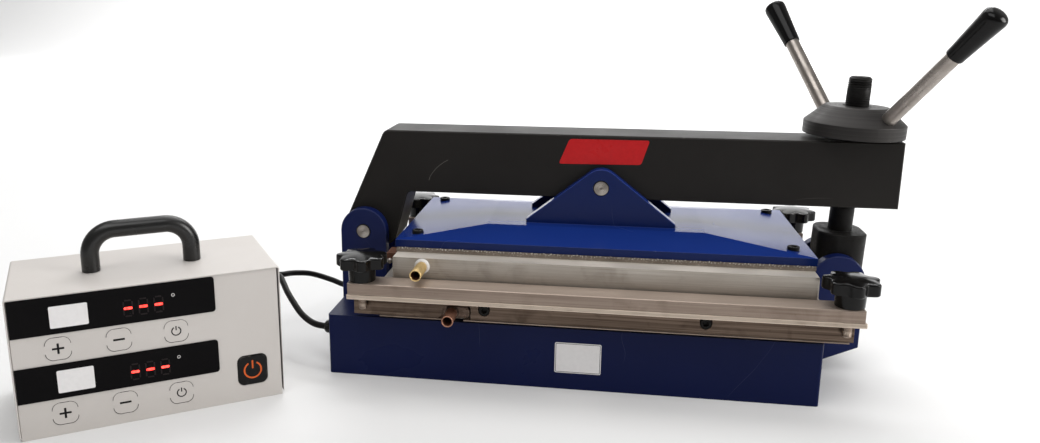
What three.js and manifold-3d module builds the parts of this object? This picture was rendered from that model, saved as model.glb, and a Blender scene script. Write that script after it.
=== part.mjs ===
// Bench press that heats and squeezes a conveyor belt splice, with its control box beside it.
// Millimetres, +Z up, origin under the middle of the press base, +X along the press to the tie bolt.
import * as THREE from 'three';
import { mergeVertices } from 'three/addons/utils/BufferGeometryUtils.js';
import Module from 'manifold-3d';

const wasm = await Module();
wasm.setup();

// Facet counts
const fewSides = 12;
const roundSides = 20;
const fineSides = 30;
const arcSteps = 8;

// Clearances: between seated flat faces, between cut or turned neighbours, and past a cut
const seatGap = 0.1;
const runGap = 0.3;
const overrun = 3;
const weldDistance = 0.001;

// Base housing, a folded sheet box with a bottom cover
const baseLength = 465;
const baseDepth = 240;
const baseHeight = 61.2;
const baseSheet = 2;
const baseCorner = 3;
const coverInset = 0.4;
const coverSheet = 2.5;
const coverScrewRadius = 3.5;
const coverScrewInset = 18;
const coverGroove = 0.8;
const coverGrooveDepth = 1;

// Lower frame: a square tube inside the base, with the two pairs of ears welded to it
const mainBeamWall = 5;
const mainBeamEnd = 6;
const earThickness = 12;
const earSlotGap = 0.5;
const weldLap = 0.6;

// Arm, a solid beam with its hinge at the left and a fork at the right
const armThickness = 54;
const armUnderside = 166.8;
const armHeight = 64.4;
const hingeInset = 14.7;
const hingeX = hingeInset - baseLength / 2;
const armHeelRun = 21.3;
const armHeelX = hingeX + armHeelRun;
const armHeelRadius = 5;
const armThroatRun = 46.3;
const armThroatX = hingeX + armThroatRun;
const armThroatRadius = 4;
const armEndRadius = 24;
const armBevel = 1.2;
const plateBevel = 0.6;
const hingeZ = 125;
const hingePinRadius = 7.4;
const hingePinProud = 0.8;
const pinChamfer = 1;
const bushWall = 3;
const hingeEarRadius = 24.5;
const hingeEarFoot = 12;

// Right ears, which carry a tie bolt that leans out a little
const tieOverhang = 32.5;
const tieX = baseLength / 2 + tieOverhang;
const tieZ = 96;
const tieLean = 2;
const tieEarRadius = 25;
const tieEarInset = 5;
const tieEarHeelZ = 28;
const tieEarChin = 19.5;
const tieEarChinX = baseLength / 2 + tieEarChin;
const tieEarChinZ = 13;
const tieEarTail = 42.5;
const tieEarTailX = baseLength / 2 - tieEarTail;
const tieEarTailZ = 45;
const tieEarTailFoot = 9;
const tiePinRadius = 8;
const tiePinRecess = 3;
const eyeWidth = 46;
const eyeCorner = 17;
const eyeBevel = 1;
const eyeTop = 43;
const eyeFoot = 20;
const shankRadius = 11.4;
const shankTop = 66;
const threadRadius = 10.8;
const threadTop = 195.6;
const threadChamfer = 2.4;
const threadPitch = 2;
const threadDepth = 0.9;
const threadTurns = 8;
const forkRadius = 12;
const forkShift = 1.5;
const forkCentreX = tieX + forkShift;
const armBeyondTie = 46.1;
const armReach = tieX + armBeyondTie;

// Hand nut with two handles that stand up from its cone
const nutRadius = 47;
const nutSeat = 138.5;
const nutRim = 13;
const nutCone = 15.6;
const nutTopRadius = 29;
const nutEdge = 0.8;
const washerRadius = 20;
const washerHole = 12;
const washerThickness = 3;
const washerProud = 0.6;
const handleAzimuth = 122.7;
const handleTilt = 48;
const handleRootRadius = 39;
const handleRootHeight = 20.5;
const handleRodRadius = 6.2;
const handleRodBare = 84;
const handleRodSunk = 12;
const gripLength = 52;
const gripBore = 14;
const gripNeckRadius = 7.6;
const gripEndRadius = 10.4;
const gripDome = 5;
const gripDomeShares = [[1, 1], [0.9, 0.55], [0.6, 0.15], [0, 0]];

// Lower platen with its insulation
const lowerEndStep = 26.5;
const lowerLength = baseLength - 2 * lowerEndStep;
const lowerDepth = 230;
const lowerX = 24.5;
const lowerThickness = 31;
const boardThickness = 2;
const boardInset = 4;

// Upper stack, which rocks on the arm's cross pin
const rockX = 28;
const rockZ = 180;
const rockPinRadius = 7.6;
const rockPinProud = 0.9;
const bracketApexRadius = 19;
const bracketFootLength = 148.5;
const bracketFootRise = 3.5;
const platenStep = 1;
const platenEndStep = 9.8;
const platenLength = lowerLength - 2 * platenEndStep;
const platenDepth = lowerDepth - 2 * platenStep;
const platenThickness = 24.1;
const platenUnderside = 97.7;
const platenX = 28.3;
const platenEdge = 0.8;
const insulationEndStep = 0.2;
const insulationSideStep = 19;
const insulationLength = platenLength - 2 * insulationEndStep;
const insulationDepth = platenDepth - 2 * insulationSideStep;
const insulationThickness = 4.1;
const pressOverhang = 1.6;
const pressLength = platenLength + 2 * pressOverhang;
const pressSideStep = 20;
const pressDepth = platenDepth - 2 * pressSideStep;
const pressEdge = 7.5;
const pressRise = 8.5;
const crownEndSlope = 90.8;
const crownLength = pressLength - 2 * crownEndSlope;
const crownSlope = 43;
const crownDepth = pressDepth - 2 * crownSlope;
const crownShift = -5.8;
const pressScrewInsetX = 18;
const pressScrewInsetY = 21;
const pressScrewHeadRadius = 5.6;
const pressScrewHead = 5;
const pressScrewRadius = 3;
const pressScrewReach = 6.4;
const socketRadius = 2.6;
const socketDepth = 2.6;
const heaterThickness = 1.6;
const heaterInset = 12;
const sensorBall = 2.8;
const sensorStem = 1.7;
const sensorReach = 9;
const sensorSunk = 8;
const sensorInset = 15;
const sensorY = sensorInset - platenDepth / 2;
const sensorZ = 113;
const terminalWidth = 20;
const terminalReach = 12;
const terminalHeight = 8;
const terminalInset = 34;
const terminalY = terminalInset - platenDepth / 2;
const terminalZ = 114.5;

// Belt clamps along the front and the rear: rail, jaw, studs, bar and star knobs
const railEndStep = 2.5;
const railLength = baseLength - 2 * railEndStep;
const railX = 25.5;
const railThickness = 8;
const railUnderside = 65.5;
const railNotchWidth = 34;
const railNotchDepth = 13;
const railScrewInsets = [127.4, 128.2];
const railScrewX = [
  railX - railLength / 2 + railScrewInsets[0],
  railX + railLength / 2 - railScrewInsets[1],
];
const railScrewZ = 75.4;
const railScrewHeadRadius = 5;
const railScrewHead = 5;
const railScrewRadius = 3;
const railScrewReach = 14;
const railSlotRadius = 5.6;
const jawOverhang = 3.5;
const jawLength = railLength + 2 * jawOverhang;
const jawX = 27;
const jawDepth = 26;
const jawThickness = 4.4;
const jawUnderside = 86;
const barEndStep = 1.5;
const barLength = jawLength - 2 * barEndStep;
const barX = 26.5;
const barDepth = 25;
const barHeight = 11.3;
const barChamfer = 0.8;
const studInset = 11.25;
const studSpan = barLength - 2 * studInset;
const studX = 26.8;
const studRadius = 3.9;
const studTip = 73;
const studTop = 119.8;
const studHoleRadius = 4.6;
const knobRadius = 24.6;
const knobLobes = 7;
const knobLobeShare = 0.15;
const knobLobeSharpness = 0.25;
const knobPointsPerLobe = 4;
const knobBossHeight = 11.3;
const knobHeight = 9.9;
const knobBevel = 1.6;
const knobBossRadius = 13.4;
const knobBossTaperShare = 0.95;
const knobDomeRadius = 17.6;
const knobDomeRise = 1.8;
const knobDomeShares = [[1, 0], [0.8, 0.7], [0.45, 0.95], [0, 1]];
const knobBore = 18.4;

// Hose tails for the platens' cooling water
const upperTailInset = 29.5;
const upperTailX = platenX - platenLength / 2 + upperTailInset;
const upperTailZ = 114;
const upperTailLength = 26.5;
const lowerTailInset = 73.2;
const lowerTailX = lowerX - lowerLength / 2 + lowerTailInset;
const railNotchShift = 1.3;
const railNotchX = lowerTailX + railNotchShift;
const lowerTailZ = 71.5;
const lowerTailLength = 27;
const tailRadius = 5.6;
const tailBore = 2.8;
const tailBarbs = 3;
const tailBarbRise = 0.7;
const tailBarbShare = 0.75;
const tailRootRadius = 6.6;
const tailRootLength = 5;
const tailSunk = 6;
const tailSides = 12;

// Cable glands and the two cables between the press and the control box
const glandBodyRadius = 8.2;
const glandBody = 3.5;
const glandDomeRadius = 6.6;
const glandDome = 5;
const glandDomeShares = [[1, 0], [0.93, 0.6], [0.72, 1]];
const glandThreadRadius = 6;
const glandNutRadius = 9;
const glandNut = 3.5;
const glandSides = 12;
const cableRadius = 3.25;
const cableSides = 8;
const cableStep = 10;
const frontGland = [-103, 42];
const rearGland = [50, 30];
const frontRoute = [
  [-234.1, -103, 42], [-238, -103, 42], [-242, -103, 42], [-250.5, -100.6, 42], [-261, -94, 42.8],
  [-273.6, -84, 46.5], [-286.9, -70, 53], [-298.6, -56, 58.9], [-308.1, -42, 63.4], [-317, -29, 66],
  [-330, -22, 68], [-348, -24, 70], [-362, -37, 71], [-369, -54, 70.6], [-368.6, -68, 70],
  [-364.5, -77, 70], [-358.1, -86.5, 70], [-356.1, -89.45, 70], [-354.1, -92.4, 70],
];
const rearRoute = [
  [-234.1, 50, 30], [-238, 50, 30], [-242, 50, 30], [-256, 50, 31], [-271.4, 50, 33.7],
  [-281.9, 50, 37.5], [-292.2, 49, 41], [-301.6, 46, 44.7], [-310, 40, 48.3], [-317.6, 32, 50.9],
  [-324.2, 22, 53.3], [-328.5, 10, 55.6], [-335, -2, 58.5], [-347, -14, 62], [-364, -24, 65.5],
  [-382, -36, 68.4], [-395, -51, 69.8], [-401, -68, 70], [-399.7, -85, 70], [-393.5, -96.5, 70],
  [-387.1, -106, 70], [-385.1, -108.95, 70], [-383.1, -111.9, 70],
];

// Control box, turned beside the press: a folded cover over a folded chassis
const boxCornerX = -444;
const boxCornerY = -298;
const boxTurn = 34;
const boxWidth = 223.5;
const boxHeight = 125.7;
const boxDepth = 118.8;
const boxSheet = 1.2;
const boxBend = 2.2;
const boxRecess = 1.2;
const boxSideGap = 1.4;
const boxSideRise = 3;
const boxFlange = 14;
const meterLeft = 1.8;
const meterMargin = 58.1;
const meterRight = boxWidth - meterMargin;
const meterBezel = 0.5;
const meterCorner = 3;
const meterTopMargin = 1.7;
const meterUpperHeight = 32.7;
const meterSpacing = 26.7;
const meterLowerHeight = 31.2;
const meterTop = boxHeight - meterTopMargin;
const meterUpperFoot = meterTop - meterUpperHeight;
const meterLowerTop = meterUpperFoot - meterSpacing;
const meterRows = [
  [meterUpperFoot, meterTop],
  [meterLowerTop - meterLowerHeight, meterLowerTop],
];
const meterBodyInset = 6;
const meterBodyDepth = 24;
const meterBoard = 1.6;
const meterBoardDrop = 26;
const buttonWidth = 26.6;
const buttonHeight = 28.6;
const buttonCorner = 6;
const buttonEdge = 28.9;
const buttonX = boxWidth - buttonEdge;
const buttonZ = 29.7;
const buttonProud = 0.9;
const buttonThickness = 6;
const buttonTravel = 1.5;
const switchWall = 3;
const switchDepth = 20;
const carryFootInsets = [67.9, 69];
const carryFeet = [carryFootInsets[0], boxWidth - carryFootInsets[1]];
const carryY = 56;
const carryHeight = 36.8;
const carryRadius = 7.8;
const carryBend = 14.5;
const carrySides = 10;
const carrySteps = 24;
const controlGlandInsets = [34, 69];
const controlGlandZ = 70;
const inletX = 48;
const inletZ = 42;
const inletWidth = 27;
const inletHeight = 20;
const inletDepth = 19;
const inletFlange = 4.5;
const inletFlangeThickness = 2;
const inletWall = 2;
const inletRecess = 3.6;
const inletPinLength = 3;
const inletPinWidth = 2;
const inletPinHeight = 4;
const inletPinSpan = 7;

const xAxis = new THREE.Vector3(1, 0, 0);
const yAxis = new THREE.Vector3(0, 1, 0);
const zAxis = new THREE.Vector3(0, 0, 1);
const part = new THREE.Group();

// Finishes
const finish = (color, roughness, metalness) => {
  const look = { color, roughness, metalness };
  return () => new THREE.MeshStandardMaterial(look);
};
const bluePaint = finish(0x1c2c72, 0.3, 0.1);
const blackPaint = finish(0x24221f, 0.55, 0.1);
const aluminium = finish(0xb5b0a8, 0.4, 0.9);
const stainless = finish(0xb9b4ae, 0.28, 1);
const brass = finish(0xb58a3c, 0.35, 1);
const blackPlastic = finish(0x141414, 0.35, 0);
const blackenedSteel = finish(0x2b2a28, 0.45, 0.7);
const boardBrown = finish(0x7d6f61, 0.9, 0);
const boxPaint = finish(0xd6d3cd, 0.5, 0);
const meterBlack = finish(0x17181c, 0.35, 0);
const blackRubber = finish(0x1a1a1a, 0.7, 0);
const brownResin = finish(0x8a4f30, 0.6, 0);

// Turns a closed geometry into a solid that can be cut and joined
function toSolid(geometry) {
  const bare = geometry.clone();
  bare.deleteAttribute('normal');
  bare.deleteAttribute('uv');
  const merged = mergeVertices(bare, weldDistance);
  return new wasm.Manifold(new wasm.Mesh({
    numProp: 3,
    vertProperties: new Float32Array(merged.attributes.position.array),
    triVerts: new Uint32Array(merged.index.array),
  }));
}

function toGeometry(solid) {
  const mesh = solid.getMesh();
  const geometry = new THREE.BufferGeometry();
  geometry.setAttribute('position', new THREE.BufferAttribute(new Float32Array(mesh.vertProperties), 3));
  geometry.setIndex(new THREE.BufferAttribute(new Uint32Array(mesh.triVerts), 1));
  geometry.computeVertexNormals();
  return geometry;
}

function cut(body, ...tools) {
  return toGeometry(tools.reduce((left, tool) => left.subtract(toSolid(tool)), toSolid(body)));
}

function join(first, ...rest) {
  return toGeometry(rest.reduce((sum, body) => sum.add(toSolid(body)), toSolid(first)));
}

// Adds one named piece to a group
function add(group, name, geometry, material) {
  const piece = new THREE.Mesh(geometry, material());
  piece.name = name;
  group.add(piece);
}

// Block given by its middle in x and y, its underside and its sizes
function block(x, y, z, length, depth, height) {
  return new THREE.BoxGeometry(length, depth, height).translate(x, y, z + height / 2);
}

// Block given by two opposite corners
function span(low, high) {
  const size = high.map((value, i) => value - low[i]);
  const middle = high.map((value, i) => (value + low[i]) / 2);
  return new THREE.BoxGeometry(...size).translate(...middle);
}

// Round bar from one point to another
function rod(from, to, radius, sides = roundSides) {
  const start = new THREE.Vector3(...from);
  const run = new THREE.Vector3(...to).sub(start);
  const bar = new THREE.CylinderGeometry(radius, radius, run.length(), sides);
  bar.translate(0, run.length() / 2, 0);
  bar.applyQuaternion(new THREE.Quaternion().setFromUnitVectors(yAxis, run.normalize()));
  return bar.translate(...from);
}

// Round bar across the press, along y
function crossRod(x, z, yFrom, yTo, radius, sides = roundSides) {
  return rod([x, Math.min(yFrom, yTo), z], [x, Math.max(yFrom, yTo), z], radius, sides);
}

// Piece turned about +Z from [radius, height] pairs
function turned(profile, sides = roundSides) {
  const points = profile.map(([radius, height]) => new THREE.Vector2(radius, height));
  return new THREE.LatheGeometry(points, sides).rotateX(Math.PI / 2);
}

// Flat ring about +Z
function ring(outer, inner, z, height, sides = roundSides) {
  return turned([[inner, z], [outer, z], [outer, z + height], [inner, z + height], [inner, z]], sides);
}

// Chamfered pin across the press, centred on y = 0
function crossPin(x, z, half, radius) {
  return turned([
    [0, -half],
    [radius - pinChamfer, -half],
    [radius, pinChamfer - half],
    [radius, half - pinChamfer],
    [radius - pinChamfer, half],
    [0, half],
  ]).rotateX(Math.PI / 2).translate(x, 0, z);
}

// Rounded rectangle about the origin
function roundedRect(length, depth, radius) {
  const shape = new THREE.Shape();
  const x = length / 2 - radius;
  const y = depth / 2 - radius;
  shape.absarc(x, -y, radius, -Math.PI / 2, 0);
  shape.absarc(x, y, radius, 0, Math.PI / 2);
  shape.absarc(-x, y, radius, Math.PI / 2, Math.PI);
  shape.absarc(-x, -y, radius, Math.PI, Math.PI * 1.5);
  return shape;
}

// Straight-sided outline through a list of points
function outline(points) {
  return new THREE.Shape(points.map(([x, y]) => new THREE.Vector2(x, y)));
}

// Prism along +Z from zero, with an optional chamfer round both ends
function extrude(shape, depth, curveSegments = 4, bevel = 0) {
  return new THREE.ExtrudeGeometry(shape, {
    depth: depth - 2 * bevel,
    curveSegments,
    bevelEnabled: bevel > 0,
    bevelThickness: bevel,
    bevelSize: bevel,
    bevelOffset: -bevel,
    bevelSegments: 1,
  }).translate(0, 0, bevel);
}

// Outline drawn in x and z, with a thickness that starts at yFront and runs back
function sidePlate(shape, yFront, thickness, curveSegments = 4, bevel = 0) {
  const plate = extrude(shape, thickness, curveSegments, bevel);
  return plate.rotateX(Math.PI / 2).translate(0, yFront + thickness, 0);
}

// Section drawn in y and z, run along x
function barAlongX(shape, xStart, length, bevel = 0) {
  const turn = new THREE.Matrix4().makeBasis(yAxis, zAxis, xAxis);
  return extrude(shape, length, 4, bevel).applyMatrix4(turn).translate(xStart, 0, 0);
}

// Tube swept along a curve
function tube(curve, radius, sides, steps) {
  const circle = new THREE.Shape();
  for (let i = 0; i < sides; i += 1) {
    const angle = (i / sides) * 2 * Math.PI;
    const point = [radius * Math.cos(angle), radius * Math.sin(angle)];
    circle[i === 0 ? 'moveTo' : 'lineTo'](...point);
  }
  circle.closePath();
  return new THREE.ExtrudeGeometry(circle, { steps, extrudePath: curve, bevelEnabled: false, curveSegments: 1 });
}

// Place where a line from an outside point touches a circle, on the chosen side
function tangent(point, centre, radius, side) {
  const away = new THREE.Vector2().subVectors(point, centre);
  const angle = away.angle() + side * Math.acos(radius / away.length());
  return new THREE.Vector2(centre.x + radius * Math.cos(angle), centre.y + radius * Math.sin(angle));
}

const angleAbout = (centre, point) => Math.atan2(point.y - centre.y, point.x - centre.x);
const ends = [['front', -1], ['rear', 1]];
const hands = ['left', 'right'];

// Heights and faces worked out from the driving sizes
const baseLeft = -baseLength / 2;
const baseRight = baseLength / 2;
const earInner = armThickness / 2 + runGap;
const earOuter = earInner + earThickness;
const earMiddle = (earInner + earOuter) / 2;
const armTop = armUnderside + armHeight;
const lowerUnderside = baseHeight + boardThickness + 2 * seatGap;
const platenTop = platenUnderside + platenThickness;
const insulationFoot = platenTop + seatGap;
const pressFoot = insulationFoot + insulationThickness + seatGap;
const pressShoulder = pressFoot + pressEdge;
const crownTop = pressShoulder + pressRise;
const railInner = lowerDepth / 2 + seatGap;
const railOuter = railInner + railThickness;
const railHeight = jawUnderside - seatGap - railUnderside;
const jawTop = jawUnderside + jawThickness;
const jawMiddle = railInner + jawDepth / 2;
const barFoot = jawTop + seatGap;
const barTop = barFoot + barHeight;
const knobFoot = barTop + runGap;
const studXs = [studX - studSpan / 2, studX + studSpan / 2];
const beamFoot = coverSheet + runGap;
const beamTop = baseHeight - baseSheet - seatGap;

// Base housing and its bottom cover
const base = new THREE.Group();
part.add(base);

function makeHousing() {
  const innerLength = baseLength - 2 * baseSheet;
  const innerDepth = baseDepth - 2 * baseSheet;
  const innerCorner = baseCorner - baseSheet;
  const skin = extrude(roundedRect(baseLength, baseDepth, baseCorner), baseHeight);
  const hollow = extrude(roundedRect(innerLength, innerDepth, innerCorner), baseHeight - baseSheet + overrun);
  hollow.translate(0, 0, -overrun);
  const halfSlot = earThickness / 2 + earSlotGap;
  const slots = ends.flatMap(([, side]) => [
    span(
      [baseLeft - overrun, side * earMiddle - halfSlot, hingeEarFoot - earSlotGap],
      [hingeX + hingeEarRadius + earSlotGap, side * earMiddle + halfSlot, baseHeight + overrun],
    ),
    span(
      [baseRight - baseSheet - overrun, side * earMiddle - halfSlot, tieEarTailFoot - earSlotGap],
      [baseRight + overrun, side * earMiddle + halfSlot, tieEarTailZ + earSlotGap],
    ),
  ]);
  const holes = [frontGland, rearGland].map(([y, z]) => rod(
    [baseLeft - overrun, y, z],
    [baseLeft + baseSheet + overrun, y, z],
    glandThreadRadius + runGap,
    glandSides,
  ));
  add(base, 'base_housing', cut(skin, hollow, ...slots, ...holes), bluePaint);

  const coverLength = innerLength - 2 * coverInset;
  const coverDepth = innerDepth - 2 * coverInset;
  const spots = [-1, 1].flatMap((sx) => [-1, 1].map((sy) => [
    sx * (coverLength / 2 - coverScrewInset),
    sy * (coverDepth / 2 - coverScrewInset),
  ]));
  const cover = extrude(roundedRect(coverLength, coverDepth, innerCorner), coverSheet);
  const grooves = spots.map(([x, y]) => ring(
    coverScrewRadius + coverGroove,
    coverScrewRadius,
    -overrun,
    overrun + coverGrooveDepth,
    fewSides,
  ).translate(x, y, 0));
  add(base, 'bottom_cover', cut(cover, ...grooves), bluePaint);
}

// Outlines of the ears, drawn from the side
function hingeEarOutline() {
  const shape = new THREE.Shape();
  shape.moveTo(hingeX - hingeEarRadius, hingeEarFoot);
  shape.lineTo(hingeX + hingeEarRadius, hingeEarFoot);
  shape.absarc(hingeX, hingeZ, hingeEarRadius, 0, Math.PI);
  return shape;
}

function tieEarOutline() {
  const shape = new THREE.Shape();
  const headX = tieX - tieEarInset;
  shape.moveTo(tieEarTailX, tieEarTailFoot);
  shape.lineTo(baseRight + runGap, tieEarTailFoot);
  shape.lineTo(tieEarChinX, tieEarChinZ);
  shape.lineTo(headX + tieEarRadius, tieEarHeelZ);
  shape.absarc(headX, tieZ, tieEarRadius, 0, Math.PI);
  shape.lineTo(headX - tieEarRadius, tieEarTailZ);
  shape.lineTo(tieEarTailX, tieEarTailZ);
  return shape;
}

// Lower frame of beam and ears, and the pins through the ears
function makeFrame() {
  const half = earInner + weldLap;
  const beamLength = baseLength - 2 * mainBeamEnd;
  const beam = span([-beamLength / 2, -half, beamFoot], [beamLength / 2, half, beamTop]);
  const bore = span(
    [-beamLength / 2 - overrun, mainBeamWall - half, beamFoot + mainBeamWall],
    [beamLength / 2 + overrun, half - mainBeamWall, beamTop - mainBeamWall],
  );
  const ears = ends.flatMap(([, side]) => {
    const face = side < 0 ? -earOuter : earInner;
    return [
      sidePlate(hingeEarOutline(), face, earThickness, arcSteps, plateBevel),
      sidePlate(tieEarOutline(), face, earThickness, arcSteps, plateBevel),
    ];
  });
  const hingeReach = earOuter + overrun;
  const hingeHole = crossRod(hingeX, hingeZ, -hingeReach, hingeReach, hingePinRadius + runGap);
  const tieReach = earOuter - tiePinRecess;
  const tieHole = crossRod(tieX, tieZ, -tieReach, tieReach, tiePinRadius + runGap);
  add(base, 'lower_frame', cut(join(cut(beam, bore), ...ears), hingeHole, tieHole), bluePaint);
  add(base, 'hinge_pin', crossPin(hingeX, hingeZ, earOuter + hingePinProud, hingePinRadius), stainless);
  add(base, 'tie_pin', crossPin(tieX, tieZ, tieReach - runGap, tiePinRadius), stainless);
}

// Hose tail that points along -Y from its root face, with a bore and barbs
function hoseTail(length) {
  const valley = tailRadius - tailBarbRise;
  const pitch = (length - tailRootLength) / tailBarbs;
  const profile = [[tailBore, -tailSunk], [tailRadius, -tailSunk], [tailRadius, seatGap]];
  profile.push([tailRootRadius, seatGap], [tailRootRadius, tailRootLength]);
  for (let i = 0; i < tailBarbs; i += 1) {
    const start = tailRootLength + i * pitch;
    profile.push([valley, start], [tailRadius, start + pitch * (1 - tailBarbShare)]);
  }
  profile.push([valley, length], [tailBore, length], [tailBore, -tailSunk]);
  return turned(profile, tailSides).rotateX(Math.PI / 2);
}

function addTails(group, prefix, x, z, face, length) {
  for (const [end, side] of ends) {
    const tail = hoseTail(length);
    if (side > 0) {
      tail.rotateZ(Math.PI);
    }
    add(group, `${prefix}_hose_tail_${end}`, tail.translate(x, side * face, z), brass);
  }
}

// Bores across a platen's front and rear edges for its hose tails
function tailPorts(x, z, face) {
  return ends.map(([, side]) => crossRod(
    x,
    z,
    side * (face - tailSunk - overrun),
    side * (face + overrun),
    tailRadius + runGap,
    tailSides,
  ));
}

// Lower platen, its insulation board and its heater mat
function makeLowerPlaten() {
  const board = block(
    lowerX,
    0,
    baseHeight + seatGap,
    lowerLength - 2 * boardInset,
    lowerDepth - 2 * boardInset,
    boardThickness,
  );
  add(base, 'lower_insulation', board, boardBrown);
  const heaterLength = lowerLength - 4 * heaterInset;
  const heaterDepth = lowerDepth - 4 * heaterInset;
  const plate = block(lowerX, 0, lowerUnderside, lowerLength, lowerDepth, lowerThickness);
  const pocket = block(
    lowerX,
    0,
    lowerUnderside - overrun,
    heaterLength + 2 * runGap,
    heaterDepth + 2 * runGap,
    overrun + heaterThickness + seatGap,
  );
  const taps = railScrewX.flatMap((x) => ends.map(([, side]) => crossRod(
    x,
    railScrewZ,
    side * (railInner - railScrewReach),
    side * (railInner + overrun),
    railScrewRadius + runGap,
    fewSides,
  )));
  const ports = tailPorts(lowerTailX, lowerTailZ, lowerDepth / 2);
  add(base, 'lower_platen', cut(plate, pocket, ...ports, ...taps), aluminium);
  const mat = block(lowerX, 0, lowerUnderside, heaterLength, heaterDepth, heaterThickness);
  add(base, 'lower_heater', mat, brownResin);
  addTails(base, 'lower', lowerTailX, lowerTailZ, lowerDepth / 2, lowerTailLength);
}

// Rail outline from the side, with a stepped notch that clears the lower hose tail
function railOutline() {
  const shape = new THREE.Shape();
  const left = railX - railLength / 2;
  const right = railX + railLength / 2;
  const notchLeft = railNotchX - railNotchWidth / 2;
  const notchRight = railNotchX + railNotchWidth / 2;
  const sweep = railNotchDepth / 2;
  shape.moveTo(left, railUnderside);
  shape.lineTo(notchLeft, railUnderside);
  shape.absarc(notchLeft, railUnderside + sweep, sweep, -Math.PI / 2, 0);
  shape.absarc(notchLeft + 2 * sweep, railUnderside + sweep, sweep, Math.PI, Math.PI / 2, true);
  shape.lineTo(notchRight, railUnderside + railNotchDepth);
  shape.lineTo(notchRight, railUnderside);
  shape.lineTo(right, railUnderside);
  shape.lineTo(right, railUnderside + railHeight);
  shape.lineTo(left, railUnderside + railHeight);
  return shape;
}

// Rails with open-topped pockets for their screws, and jaws with their welded studs
function makeRails() {
  for (const [end, side] of ends) {
    const outer = side * railOuter;
    const seat = outer - side * (railScrewHead + seatGap);
    const pockets = railScrewX.flatMap((x) => [
      crossRod(x, railScrewZ, outer + side * overrun, seat, railSlotRadius, fewSides),
      span(
        [x - railSlotRadius, Math.min(outer + side * overrun, seat), railScrewZ],
        [x + railSlotRadius, Math.max(outer + side * overrun, seat), jawUnderside + overrun],
      ),
      crossRod(x, railScrewZ, outer, side * (railInner - overrun), railScrewRadius + runGap, fewSides),
    ]);
    const rail = sidePlate(railOutline(), side < 0 ? -railOuter : railInner, railThickness, 5);
    add(base, `${end}_rail`, cut(rail, ...pockets), stainless);
    railScrewX.forEach((x, i) => {
      const tip = side * (railInner - railScrewReach + seatGap);
      const body = join(
        crossRod(x, railScrewZ, outer, outer - side * railScrewHead, railScrewHeadRadius, fewSides),
        crossRod(x, railScrewZ, outer - side * socketDepth, tip, railScrewRadius, fewSides),
      );
      const socket = crossRod(x, railScrewZ, outer + side * overrun, outer - side * socketDepth, socketRadius, 6);
      add(base, `${end}_rail_screw_${hands[i]}`, cut(body, socket), blackenedSteel);
    });

    const y = side * jawMiddle;
    const studs = studXs.map((x) => rod([x, y, studTip], [x, y, studTop], studRadius, fewSides));
    const jaw = block(jawX, y, jawUnderside, jawLength, jawDepth, jawThickness);
    add(base, `${end}_jaw`, join(jaw, ...studs), stainless);
  }
}

// Cable gland that points along +Z, with its lock nut behind a wall of the given thickness
function gland(wall) {
  const bore = cableRadius + runGap;
  const nutTop = -wall - runGap;
  const domeFoot = runGap + glandBody;
  const dome = glandDomeShares.map(([radius, height]) => [
    Math.max(bore + runGap, glandDomeRadius * radius),
    domeFoot + glandDome * height,
  ]);
  return turned([
    [bore, nutTop - glandNut],
    [glandNutRadius, nutTop - glandNut],
    [glandNutRadius, nutTop],
    [glandThreadRadius, nutTop],
    [glandThreadRadius, runGap],
    [glandBodyRadius, runGap],
    [glandBodyRadius, domeFoot],
    ...dome,
    [bore, domeFoot + glandDome],
    [bore, nutTop - glandNut],
  ], glandSides);
}

// Cables that hang free between the press and the box
function makeCables() {
  for (const [name, route] of [['front_cable', frontRoute], ['rear_cable', rearRoute]]) {
    const points = route.map((place) => new THREE.Vector3(...place));
    const curve = new THREE.CatmullRomCurve3(points, false, 'centripetal');
    const steps = Math.round(curve.getLength() / cableStep);
    add(base, name, tube(curve, cableRadius, cableSides, steps), blackRubber);
  }
}

makeHousing();
makeFrame();
makeLowerPlaten();
makeRails();
makeCables();

// Arm with its bush and the cross pin
const arm = new THREE.Group();
part.add(arm);

function armOutline() {
  const shape = new THREE.Shape();
  const pivot = new THREE.Vector2(hingeX, hingeZ);
  const heel = new THREE.Vector2(armHeelX, armTop);
  const throat = new THREE.Vector2(armThroatX, armUnderside);
  const outer = tangent(heel, pivot, armEndRadius, 1);
  const inner = tangent(throat, pivot, armEndRadius, -1);
  const heelEnd = new THREE.Vector2().subVectors(outer, heel).setLength(armHeelRadius).add(heel);
  const throatStart = new THREE.Vector2().subVectors(inner, throat).setLength(armThroatRadius).add(throat);
  shape.moveTo(armReach, armUnderside);
  shape.lineTo(armReach, armTop);
  shape.lineTo(armHeelX + armHeelRadius, armTop);
  shape.quadraticCurveTo(heel.x, heel.y, heelEnd.x, heelEnd.y);
  shape.lineTo(outer.x, outer.y);
  shape.absarc(pivot.x, pivot.y, armEndRadius, angleAbout(pivot, outer), angleAbout(pivot, inner) + 2 * Math.PI);
  shape.lineTo(throatStart.x, throatStart.y);
  shape.quadraticCurveTo(throat.x, throat.y, throat.x + armThroatRadius, throat.y);
  return shape;
}

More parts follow.
